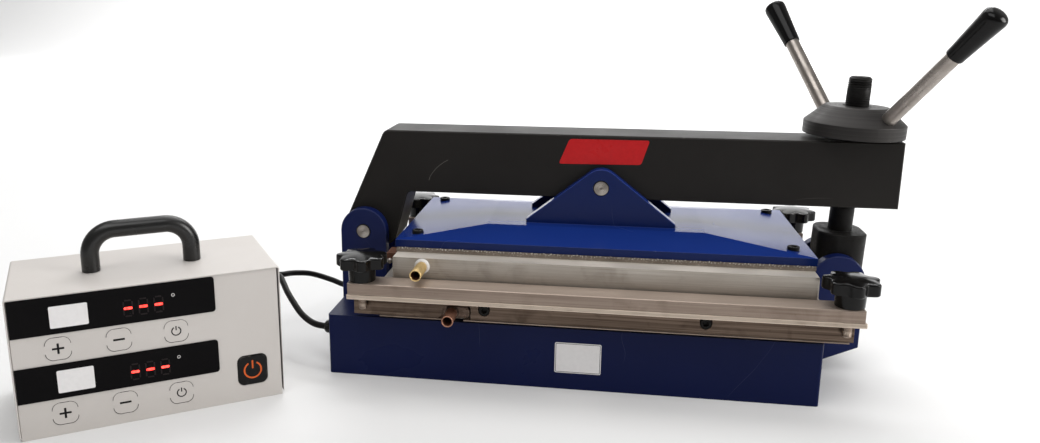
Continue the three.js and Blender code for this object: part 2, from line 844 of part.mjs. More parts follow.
function makeArm() {
  const half = armThickness / 2;
  const reach = half + overrun;
  const bushInner = hingePinRadius + runGap;
  const bushOuter = bushInner + bushWall;
  const body = sidePlate(armOutline(), -half, armThickness, arcSteps, armBevel);
  const bore = crossRod(hingeX, hingeZ, -reach, reach, bushOuter + runGap);
  const pinBore = crossRod(rockX, rockZ, -reach, reach, rockPinRadius + runGap);
  const low = armUnderside - overrun;
  const high = armTop + overrun;
  const fork = join(
    rod([forkCentreX, 0, low], [forkCentreX, 0, high], forkRadius),
    span([forkCentreX, -forkRadius, low], [armReach + overrun, forkRadius, high]),
  );
  add(arm, 'arm', cut(body, bore, pinBore, fork), blackPaint);
  const bush = ring(bushOuter, bushInner, seatGap - half, armThickness - 2 * seatGap);
  add(arm, 'hinge_bush', bush.rotateX(Math.PI / 2).translate(hingeX, 0, hingeZ), brass);
  add(arm, 'rocker_pin', crossPin(rockX, rockZ, earOuter + rockPinProud, rockPinRadius), stainless);
}

// Upper stack under the arm
const rocker = new THREE.Group();
arm.add(rocker);

function bracketOutline() {
  const shape = new THREE.Shape();
  const apex = new THREE.Vector2(rockX, rockZ);
  const foot = crownTop - weldLap - plateBevel;
  const left = new THREE.Vector2(rockX - bracketFootLength / 2, crownTop + bracketFootRise);
  const right = new THREE.Vector2(rockX + bracketFootLength / 2, crownTop + bracketFootRise);
  const leftTouch = tangent(left, apex, bracketApexRadius, -1);
  const rightTouch = tangent(right, apex, bracketApexRadius, 1);
  shape.moveTo(left.x, foot);
  shape.lineTo(right.x, foot);
  shape.lineTo(right.x, right.y);
  shape.lineTo(rightTouch.x, rightTouch.y);
  shape.absarc(apex.x, apex.y, bracketApexRadius, angleAbout(apex, rightTouch), angleAbout(apex, leftTouch));
  shape.lineTo(left.x, left.y);
  return shape;
}

// Pressure plate, hipped from its four edges up to a flat crown
function pressurePlate() {
  const halfLength = pressLength / 2;
  const halfCrown = crownLength / 2;
  const rows = [
    [-halfLength, halfLength, pressDepth / 2, pressFoot],
    [-halfLength, halfLength, pressDepth / 2, pressShoulder],
    [crownShift - halfCrown, crownShift + halfCrown, crownDepth / 2, crownTop],
  ];
  const positions = rows.flatMap(([left, right, half, z]) => [
    left, -half, z,
    right, -half, z,
    right, half, z,
    left, half, z,
  ]);
  const faces = [0, 2, 1, 0, 3, 2];
  for (let row = 0; row < rows.length - 1; row += 1) {
    for (let k = 0; k < 4; k += 1) {
      const a = row * 4 + k;
      const b = row * 4 + ((k + 1) % 4);
      faces.push(a, b, b + 4, a, b + 4, a + 4);
    }
  }
  const top = (rows.length - 1) * 4;
  faces.push(top, top + 1, top + 2, top, top + 2, top + 3);
  const geometry = new THREE.BufferGeometry();
  geometry.setAttribute('position', new THREE.Float32BufferAttribute(positions, 3));
  geometry.setIndex(faces);
  geometry.computeVertexNormals();
  return geometry.translate(platenX, 0, 0);
}

function makeRocker() {
  const reach = earOuter + overrun;
  const pinHole = crossRod(rockX, rockZ, -reach, reach, rockPinRadius + runGap);
  const lugs = ends.map(([, side]) => sidePlate(
    bracketOutline(),
    side < 0 ? -earOuter : earInner,
    earThickness,
    arcSteps,
    plateBevel,
  ));
  const spots = hands.flatMap((hand, i) => ends.map(([end, side]) => ({
    name: `press_screw_${end}_${hand}`,
    x: platenX + (2 * i - 1) * (pressLength / 2 - pressScrewInsetX),
    y: side * (pressDepth / 2 - pressScrewInsetY),
  })));
  const headTop = pressShoulder + pressScrewHead;
  const screwTip = platenTop - pressScrewReach;
  const holes = spots.map(({ x, y }) => rod(
    [x, y, screwTip - runGap],
    [x, y, crownTop],
    pressScrewRadius + runGap,
    fewSides,
  ));
  const sinks = spots.map(({ x, y }) => rod(
    [x, y, pressShoulder - seatGap],
    [x, y, crownTop + overrun],
    pressScrewHeadRadius + runGap,
    fewSides,
  ));
  const plate = join(pressurePlate(), ...lugs);
  add(rocker, 'pressure_plate', cut(plate, pinHole, ...sinks, ...holes), bluePaint);
  for (const { name, x, y } of spots) {
    const screw = join(
      rod([x, y, pressShoulder], [x, y, headTop], pressScrewHeadRadius, fewSides),
      rod([x, y, screwTip], [x, y, headTop - socketDepth], pressScrewRadius, fewSides),
    );
    const socket = rod([x, y, headTop - socketDepth], [x, y, headTop + overrun], socketRadius, 6);
    add(rocker, name, cut(screw, socket), blackenedSteel);
  }
  const board = block(platenX, 0, insulationFoot, insulationLength, insulationDepth, insulationThickness);
  add(rocker, 'upper_insulation', cut(board, ...holes), boardBrown);

  const section = outline([
    [-platenDepth / 2, platenUnderside],
    [platenDepth / 2, platenUnderside],
    [platenDepth / 2, platenTop],
    [-platenDepth / 2, platenTop],
  ]);
  const left = platenX - platenLength / 2;
  const heaterLength = platenLength - 2 * pressScrewInsetX - 2 * heaterInset;
  const heaterDepth = platenDepth - 4 * heaterInset;
  const pocket = block(
    platenX,
    0,
    platenTop - heaterThickness - seatGap,
    heaterLength + 2 * runGap,
    heaterDepth + 2 * runGap,
    heaterThickness + seatGap + overrun,
  );
  const sensorHole = rod(
    [left - overrun, sensorY, sensorZ],
    [left + sensorSunk + runGap, sensorY, sensorZ],
    sensorStem + runGap,
    fewSides,
  );
  const slab = barAlongX(section, left, platenLength, platenEdge);
  const ports = tailPorts(upperTailX, upperTailZ, platenDepth / 2);
  add(rocker, 'upper_platen', cut(slab, pocket, sensorHole, ...ports, ...holes), aluminium);
  const mat = block(platenX, 0, platenTop - heaterThickness, heaterLength, heaterDepth, heaterThickness);
  add(rocker, 'upper_heater', mat, brownResin);
  const ball = sensorReach - sensorBall;
  const sensor = turned([
    [0, -sensorSunk],
    [sensorStem, -sensorSunk],
    [sensorStem, ball - sensorBall / 2],
    [sensorBall, ball],
    [sensorBall / 2, sensorReach - sensorBall / 4],
    [0, sensorReach],
  ], fewSides).rotateY(-Math.PI / 2);
  add(rocker, 'platen_sensor', sensor.translate(left, sensorY, sensorZ), stainless);
  const half = terminalWidth / 2;
  const cap = outline([
    [terminalY - half, terminalZ - terminalHeight / 2],
    [terminalY + half, terminalZ - terminalHeight / 2],
    [terminalY + half, terminalZ + terminalHeight / 2],
    [terminalY - half, terminalZ + terminalHeight / 2],
  ]);
  const capStart = left - seatGap - terminalReach;
  add(rocker, 'heater_terminal', barAlongX(cap, capStart, terminalReach, platenEdge), brownResin);
  addTails(rocker, 'upper', upperTailX, upperTailZ, platenDepth / 2, upperTailLength);
}

makeArm();
makeRocker();

// Tie bolt, its washer and its hand nut, built upright about the tie pin and then leaned
const tie = new THREE.Group();
tie.position.set(tieX, 0, tieZ);
tie.rotation.y = THREE.MathUtils.degToRad(tieLean);
part.add(tie);

function makeTieBolt() {
  const eye = extrude(roundedRect(eyeWidth, armThickness, eyeCorner), eyeTop + eyeFoot, 6, eyeBevel);
  const bore = crossRod(0, 0, -armThickness, armThickness, tiePinRadius + runGap);
  const root = threadRadius - threadDepth;
  const start = threadTop - threadChamfer - threadTurns * threadPitch;
  const profile = [[0, eyeTop - overrun], [shankRadius, eyeTop - overrun], [shankRadius, shankTop]];
  profile.push([threadRadius, shankTop + shankRadius - threadRadius]);
  for (let i = 0; i < threadTurns; i += 1) {
    profile.push([threadRadius, start + i * threadPitch], [root, start + (i + 1 / 2) * threadPitch]);
  }
  profile.push([threadRadius, threadTop - threadChamfer], [threadRadius - threadChamfer, threadTop]);
  profile.push([0, threadTop]);
  const screw = turned(profile, roundSides);
  add(tie, 'tie_bolt', cut(join(eye.translate(0, 0, -eyeFoot), screw), bore), blackenedSteel);
}

function makeHandNut() {
  const bore = threadRadius + runGap;
  const washerFoot = nutSeat - washerProud;
  const sinkTop = washerFoot + washerThickness + runGap;
  const nutTop = nutSeat + nutRim + nutCone;
  const hub = turned([
    [bore, sinkTop],
    [washerRadius + runGap, sinkTop],
    [washerRadius + runGap, nutSeat],
    [nutRadius - nutEdge, nutSeat],
    [nutRadius, nutSeat + nutEdge],
    [nutRadius, nutSeat + nutRim],
    [nutTopRadius, nutTop],
    [bore, nutTop],
    [bore, sinkTop],
  ], fineSides);
  const tilt = THREE.MathUtils.degToRad(handleTilt);
  const sockets = [];
  for (const [end, turn] of [['rear', 0], ['front', 180]]) {
    const azimuth = THREE.MathUtils.degToRad(handleAzimuth + turn);
    const place = (distance) => {
      const reach = handleRootRadius + distance * Math.cos(tilt);
      const height = nutSeat + handleRootHeight + distance * Math.sin(tilt);
      return [reach * Math.cos(azimuth), reach * Math.sin(azimuth), height];
    };
    sockets.push(rod(place(-handleRodSunk - runGap), place(handleRodSunk), handleRodRadius + runGap, roundSides));
    const bar = rod(place(-handleRodSunk), place(handleRodBare + gripBore - runGap), handleRodRadius, roundSides);
    add(tie, `handle_rod_${end}`, bar, stainless);
    const hollow = handleRodRadius + runGap;
    const grip = turned([
      [0, gripBore],
      [hollow, gripBore],
      [hollow, 0],
      [gripNeckRadius, 0],
      ...gripDomeShares.map(([radius, height]) => [gripEndRadius * radius, gripLength - gripDome * height]),
    ]);
    const run = new THREE.Vector3(...place(1)).sub(new THREE.Vector3(...place(0)));
    grip.applyQuaternion(new THREE.Quaternion().setFromUnitVectors(zAxis, run.normalize()));
    add(tie, `handle_grip_${end}`, grip.translate(...place(handleRodBare)), blackPlastic);
  }
  add(tie, 'hand_nut', cut(hub, ...sockets), blackenedSteel);
  add(tie, 'thrust_washer', ring(washerRadius, washerHole, washerFoot, washerThickness), stainless);
}

makeTieBolt();
makeHandNut();

// Star knob about +Z with its foot at zero
function starKnob() {
  const shape = new THREE.Shape();
  const count = knobLobes * knobPointsPerLobe;
  for (let i = 0; i < count; i += 1) {
    const angle = (i / count) * 2 * Math.PI;
    const wave = (1 - Math.cos(knobLobes * angle)) / 2;
    const radius = knobRadius * (1 - knobLobeShare * wave * (1 + knobLobeSharpness * wave));
    const point = [radius * Math.cos(angle), radius * Math.sin(angle)];
    shape[i === 0 ? 'moveTo' : 'lineTo'](...point);
  }
  const top = knobBossHeight + knobHeight;
  const star = extrude(shape, knobHeight, 1, knobBevel).translate(0, 0, knobBossHeight);
  const boss = turned([
    [0, 0],
    [knobBossRadius * knobBossTaperShare, 0],
    [knobBossRadius, knobBossHeight + knobBevel],
    [0, knobBossHeight + knobBevel],
  ]);
  const dome = turned([
    [0, top - knobBevel],
    ...knobDomeShares.map(([radius, height]) => [knobDomeRadius * radius, top + knobDomeRise * height]),
  ]);
  const bore = rod([0, 0, -overrun], [0, 0, knobBore], studRadius + runGap, fewSides);
  return cut(join(star, boss, dome), bore);
}

// Clamp bars with a star knob on each stud
function makeClamps() {
  const half = barDepth / 2;
  const section = outline([
    [-half, barFoot],
    [half, barFoot],
    [half, barTop - barChamfer],
    [half - barChamfer, barTop],
    [barChamfer - half, barTop],
    [-half, barTop - barChamfer],
  ]);
  for (const [end, side] of ends) {
    const y = side * jawMiddle;
    const bar = barAlongX(section, barX - barLength / 2, barLength).translate(0, y, 0);
    const holes = studXs.map((x) => rod(
      [x, y, barFoot - overrun],
      [x, y, barTop + overrun],
      studHoleRadius,
      fewSides,
    ));
    const clamp = new THREE.Group();
    part.add(clamp);
    add(clamp, `${end}_clamp_bar`, cut(bar, ...holes), stainless);
    studXs.forEach((x, i) => {
      add(clamp, `${end}_${hands[i]}_knob`, starKnob().translate(x, y, knobFoot), blackPlastic);
    });
  }
}

makeClamps();

// Control box, drawn from its own front left corner and then turned
const box = new THREE.Group();
box.position.set(boxCornerX, boxCornerY, 0);
box.rotation.z = THREE.MathUtils.degToRad(boxTurn);
part.add(box);

const panelY = boxRecess;
const panelBack = panelY + boxSheet;
const rearInner = boxDepth - boxRecess - boxSheet;
const rearOuter = boxDepth - boxRecess;
const chassisLeft = boxSheet + runGap;
const chassisRight = boxWidth - boxSheet - boxSideGap;
const chassisTop = boxHeight - boxSheet - runGap;

// Folded cover, a rounded U that is open below, in front and behind
function coverOutline() {
  const inner = boxBend - boxSheet;
  const shape = new THREE.Shape();
  shape.moveTo(boxWidth, boxSideRise);
  shape.absarc(boxWidth - boxBend, boxHeight - boxBend, boxBend, 0, Math.PI / 2);
  shape.absarc(boxBend, boxHeight - boxBend, boxBend, Math.PI / 2, Math.PI);
  shape.lineTo(0, boxSideRise);
  shape.lineTo(boxSheet, boxSideRise);
  shape.absarc(boxBend, boxHeight - boxBend, inner, Math.PI, Math.PI / 2, true);
  shape.absarc(boxWidth - boxBend, boxHeight - boxBend, inner, Math.PI / 2, 0, true);
  shape.lineTo(boxWidth - boxSheet, boxSideRise);
  return shape;
}

function makeShell() {
  const floor = span([chassisLeft, panelY, 0], [chassisRight, rearOuter, boxSheet]);
  const front = span([chassisLeft, panelY, 0], [chassisRight, panelBack, chassisTop]);
  const rear = span([chassisLeft, rearInner, 0], [chassisRight, rearOuter, chassisTop]);
  const flanges = [chassisLeft, chassisRight - boxSheet].map((x) => span(
    [x, panelY, 0],
    [x + boxSheet, rearOuter, boxFlange],
  ));
  const windows = meterRows.map(([low, high]) => span(
    [meterLeft + meterBodyInset - runGap, panelY - overrun, low + meterBodyInset - runGap],
    [meterRight - meterBodyInset + runGap, panelBack + overrun, high - meterBodyInset + runGap],
  ));
  const buttonHole = sidePlate(
    roundedRect(buttonWidth + 2 * runGap, buttonHeight + 2 * runGap, buttonCorner + runGap),
    panelY - overrun,
    boxSheet + 2 * overrun,
  ).translate(buttonX, 0, buttonZ);
  const glandHoles = controlGlandInsets.map((inset) => crossRod(
    boxWidth - inset,
    controlGlandZ,
    rearInner - overrun,
    rearOuter + overrun,
    glandThreadRadius + runGap,
    glandSides,
  ));
  const inletHole = span(
    [inletX - inletWidth / 2 - runGap, rearInner - overrun, inletZ - inletHeight / 2 - runGap],
    [inletX + inletWidth / 2 + runGap, rearOuter + overrun, inletZ + inletHeight / 2 + runGap],
  );
  const chassis = cut(
    join(floor, front, rear, ...flanges),
    ...windows,
    buttonHole,
    ...glandHoles,
    inletHole,
  );
  add(box, 'control_chassis', chassis, boxPaint);
  add(box, 'control_cover', sidePlate(coverOutline(), 0, boxDepth, 3), boxPaint);
}

// Meter face on the panel, its body through the window and its board behind the keys
function makeMeters() {
  meterRows.forEach(([low, high], i) => {
    const face = new THREE.Shape();
    face.moveTo(meterLeft, low);
    face.absarc(meterRight - meterCorner, low + meterCorner, meterCorner, -Math.PI / 2, 0);
    face.absarc(meterRight - meterCorner, high - meterCorner, meterCorner, 0, Math.PI / 2);
    face.lineTo(meterLeft, high);
    const bezel = sidePlate(face, panelY - runGap - meterBezel, meterBezel);
    const body = span(
      [meterLeft + meterBodyInset, panelY - runGap - meterBezel / 2, low + meterBodyInset],
      [meterRight - meterBodyInset, panelBack + meterBodyDepth, high - meterBodyInset],
    );
    const board = span(
      [meterLeft + meterBodyInset, panelBack + runGap, low - meterBoardDrop],
      [meterRight - meterBodyInset, panelBack + runGap + meterBoard, high - meterBodyInset],
    );
    add(box, i === 0 ? 'upper_display' : 'lower_display', join(bezel, body, board), meterBlack);
  });
}

// Power button in its switch, which is a cup behind the panel
function makeButton() {
  const cap = sidePlate(
    roundedRect(buttonWidth, buttonHeight, buttonCorner),
    panelY - buttonProud,
    buttonThickness,
    4,
    plateBevel,
  ).translate(buttonX, 0, buttonZ);
  add(box, 'power_button', cap, blackPlastic);
  const front = panelBack + runGap;
  const pocket = panelY - buttonProud + buttonThickness + buttonTravel + runGap;
  const wide = buttonWidth / 2 + runGap;
  const tall = buttonHeight / 2 + runGap;
  const cup = span(
    [buttonX - wide - switchWall, front, buttonZ - tall - switchWall],
    [buttonX + wide + switchWall, front + switchDepth, buttonZ + tall + switchWall],
  );
  const well = span(
    [buttonX - wide, front - overrun, buttonZ - tall],
    [buttonX + wide, pocket, buttonZ + tall],
  );
  add(box, 'power_switch', cut(cup, well), meterBlack);
}

// Carry handle, a bent tube that stands on the cover
function makeCarryHandle() {
  const [left, right] = carryFeet;
  const foot = boxHeight + seatGap;
  const top = boxHeight + carryHeight;
  const at = (x, z) => new THREE.Vector3(x, carryY, z);
  const path = new THREE.CurvePath();
  path.add(new THREE.LineCurve3(at(left, foot), at(left, top - carryBend)));
  path.add(new THREE.QuadraticBezierCurve3(at(left, top - carryBend), at(left, top), at(left + carryBend, top)));
  path.add(new THREE.LineCurve3(at(left + carryBend, top), at(right - carryBend, top)));
  path.add(new THREE.QuadraticBezierCurve3(at(right - carryBend, top), at(right, top), at(right, top - carryBend)));
  path.add(new THREE.LineCurve3(at(right, top - carryBend), at(right, foot)));
  add(box, 'carry_handle', tube(path, carryRadius, carrySides, carrySteps), blackPlastic);
}

// Mains inlet in the rear wall: a flanged socket with its three contacts
function makeInlet() {
  const wide = inletWidth / 2;
  const tall = inletHeight / 2;
  const face = rearOuter + runGap + inletFlangeThickness;
  const flange = span(
    [inletX - wide - inletFlange, rearOuter + runGap, inletZ - tall - inletFlange],
    [inletX + wide + inletFlange, face, inletZ + tall + inletFlange],
  );
  const body = span(
    [inletX - wide, rearInner - inletDepth, inletZ - tall],
    [inletX + wide, face - inletFlangeThickness / 2, inletZ + tall],
  );
  const floor = face - inletRecess;
  const recess = span(
    [inletX - wide + inletWall, floor, inletZ - tall + inletWall],
    [inletX + wide - inletWall, face + overrun, inletZ + tall - inletWall],
  );
  const pins = [-1, 0, 1].map((step) => span(
    [inletX + step * inletPinSpan - inletPinWidth / 2, floor - weldLap, inletZ - inletPinHeight / 2],
    [inletX + step * inletPinSpan + inletPinWidth / 2, floor + inletPinLength, inletZ + inletPinHeight / 2],
  ));
  add(box, 'mains_inlet', join(cut(join(flange, body), recess), ...pins), blackPlastic);
}

makeShell();
makeMeters();
makeButton();
makeCarryHandle();
makeInlet();

// Glands, two on the press and two on the box
function makeGlands() {
  [frontGland, rearGland].forEach(([y, z], i) => {
    const piece = gland(baseSheet).rotateY(-Math.PI / 2);
    add(base, `press_gland_${ends[i][0]}`, piece.translate(baseLeft, y, z), stainless);
  });
  controlGlandInsets.forEach((inset, i) => {
    const piece = gland(boxSheet).rotateX(-Math.PI / 2);
    piece.translate(boxWidth - inset, rearOuter, controlGlandZ);
    add(box, `control_gland_${ends[i][0]}`, piece, stainless);
  });
}

makeGlands();

export default part;
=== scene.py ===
"""Looks of a bench press for conveyor belt splices and its control box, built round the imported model."""

import logging
import math
from collections.abc import Sequence
from dataclasses import dataclass, field
from enum import Enum

import bmesh
import bpy
from mathutils import Matrix, Vector


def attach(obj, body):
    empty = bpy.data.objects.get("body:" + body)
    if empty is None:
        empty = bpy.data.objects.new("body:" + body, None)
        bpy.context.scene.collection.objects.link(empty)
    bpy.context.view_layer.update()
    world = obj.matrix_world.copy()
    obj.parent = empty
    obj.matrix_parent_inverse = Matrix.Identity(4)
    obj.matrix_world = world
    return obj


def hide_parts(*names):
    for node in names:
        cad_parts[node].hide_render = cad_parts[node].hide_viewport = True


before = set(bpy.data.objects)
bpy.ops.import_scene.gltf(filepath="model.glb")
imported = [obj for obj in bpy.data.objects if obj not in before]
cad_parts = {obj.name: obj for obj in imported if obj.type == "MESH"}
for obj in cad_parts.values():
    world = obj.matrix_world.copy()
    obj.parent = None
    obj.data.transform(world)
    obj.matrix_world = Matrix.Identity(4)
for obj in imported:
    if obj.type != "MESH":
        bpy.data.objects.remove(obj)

log = logging.getLogger("splicing_press")

Flat = tuple[float, float]
Point = tuple[float, float, float]
Spans = tuple[float, float, float, float]
Shade = tuple[int, int, int]
Colour = tuple[float, ...]

MM = 0.001
IMAGE_WIDTH = 1040
IMAGE_HEIGHT = 443
SENSOR_WIDTH = 36.0
RIM = "rim"
SMOOTH_ANGLE = math.radians(32)
CREASE_ANGLE = math.radians(2)
BEVEL_ANGLE = math.radians(24)
FLAT_ANGLE = math.radians(0.6)
QUARTER = math.radians(90)
UPWARD = 0.85

# Places that several parts of the press share, in millimetres.
HINGE: Flat = (-217.8, 125.0)
STUD_XS: Flat = (-193.95, 247.55)
STUD_Y = 128.1


class Body(Enum):
    """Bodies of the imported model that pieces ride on."""

    BASE = "press_base"
    ARM = "arm"
    PRESS = "upper_press"
    BOLT = "tie_bolt"
    WASHER = "thrust_washer"
    NUT = "hand_nut"
    FRONT_CLAMP = "front_clamp"
    REAR_CLAMP = "rear_clamp"
    BUTTON = "power_button"


class Slot(Enum):
    """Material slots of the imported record."""

    BLUE = "blue_paint"
    BLACK = "black_paint"
    PLATEN = "platen_aluminium"
    STEEL = "stainless"
    BRASS = "brass"
    PLASTIC = "black_plastic"
    OXIDE = "blackened_steel"
    BOARD = "insulation_board"
    BOX = "box_paint"
    GLASS = "display_black"
    RUBBER = "black_rubber"
    RESIN = "brown_resin"


class Side(Enum):
    """Front and rear of the press, with the sign of their y."""

    FRONT = -1
    REAR = 1

    @property
    def word(self) -> str:
        """Name of this side as the nodes spell it."""
        return self.name.lower()


def linear(*shade: int) -> Colour:
    """Linear colour, as shaders take it, of a display colour from 0 to 255."""
    shares = [value / 255 for value in shade]
    return tuple(s / 12.92 if s <= 0.04045 else ((s + 0.055) / 1.055) ** 2.4 for s in shares)


def toned(shade: Shade, factor: float, lift: float = 0.0) -> Colour:
    """Linear colour of a display colour, made paler or deeper and held to one."""
    return tuple(min(1.0, c * factor + lift) for c in linear(*shade))


# ---------------------------------------------------------------- shader wiring


class Wiring:
    """Adds nodes to one node tree and joins them."""

    def __init__(self, tree: bpy.types.NodeTree) -> None:
        """Keeps the tree that the nodes go into."""
        self.tree = tree

    def add(self, kind: str, ports: dict | None = None, **settings: object) -> bpy.types.Node:
        """Adds a node.

        Args:
            kind: Blender's name of the node type.
            ports: Values or output sockets by input name or number.
            settings: Properties of the node.

        Returns:
            The node.
        """
        node = self.tree.nodes.new(kind)
        for name, value in settings.items():
            setattr(node, name, value)
        for key, value in (ports or {}).items():
            self.join(value, node.inputs[key])
        return node

    def join(self, value: object, port: bpy.types.NodeSocket) -> None:
        """Sets an input, or links an output to it.

        Args:
            value: A number, a tuple or an output socket.
            port: Input that takes it.
        """
        if isinstance(value, bpy.types.NodeSocket):
            self.tree.links.new(value, port)
        elif isinstance(value, tuple) and len(value) == 3 and port.type == "RGBA":
            port.default_value = (*value, 1.0)
        else:
            port.default_value = value

    def math(self, operation: str, *values: object) -> bpy.types.NodeSocket:
        """Result of a Math node."""
        return self.add("ShaderNodeMath", dict(enumerate(values)), operation=operation).outputs[0]

    def times(self, first: object, second: object) -> bpy.types.NodeSocket:
        """Product of two values."""
        return self.math("MULTIPLY", first, second)

    def total(self, *values: object) -> bpy.types.NodeSocket:
        """Sum of values, held to one.

        Args:
            values: Numbers or output sockets.

        Returns:
            The sum.
        """
        result = values[0]
        for value in values[1:]:
            result = self.math("ADD", result, value)
        return self.math("MINIMUM", result, 1.0)

    def noise(
        self, vector: object, scale: object, detail: float = 2.0, twist: float = 0.0
    ) -> bpy.types.NodeSocket:
        """Value of a Noise Texture."""
        ports = {"Vector": vector, "Scale": scale, "Detail": detail, "Distortion": twist}
        return self.add("ShaderNodeTexNoise", ports).outputs["Fac"]

    def ramp(
        self, value: object, low: object, high: object, first: object = 0.0, last: object = 1.0
    ) -> bpy.types.NodeSocket:
        """Value moved from one range to another and held inside it."""
        ports = {"Value": value, "From Min": low, "From Max": high, "To Min": first, "To Max": last}
        return self.add("ShaderNodeMapRange", ports).outputs["Result"]

    def around(self, mask: object, middle: float, least: float, most: float) -> bpy.types.NodeSocket:
        """Value about a middle one, between two shares of it as a mask says."""
        return self.ramp(mask, 0.0, 1.0, middle * least, middle * most)

    def mix(self, share: object, first: object, second: object) -> bpy.types.NodeSocket:
        """Colour between two colours."""
        ports = {"Factor": share, 6: first, 7: second}
        return self.add("ShaderNodeMix", ports, data_type="RGBA").outputs[2]

    def tinge(self, colour: object, mask: object, share: float, over: object) -> bpy.types.NodeSocket:
        """Colour with a share of another laid over it where a mask says."""
        return self.mix(self.times(mask, share), colour, over)

    def bump(
        self, height: object, strength: float, distance: float, normal: object = None
    ) -> bpy.types.NodeSocket:
        """Normal bent by a height."""
        ports = {"Height": height, "Strength": strength, "Distance": distance}
        return self.add("ShaderNodeBump", ports | ({} if normal is None else {"Normal": normal})).outputs["Normal"]


class Effect(Enum):
    """Surface effects that several finishes share, each one shader node group."""

    EDGE_WEAR = "edge wear"
    HANDLING = "handling marks"
    BRUSHED = "brushed grain"
    PEEL = "paint peel"
    DUST = "settled dust"
    FACING_UP = "facing up"


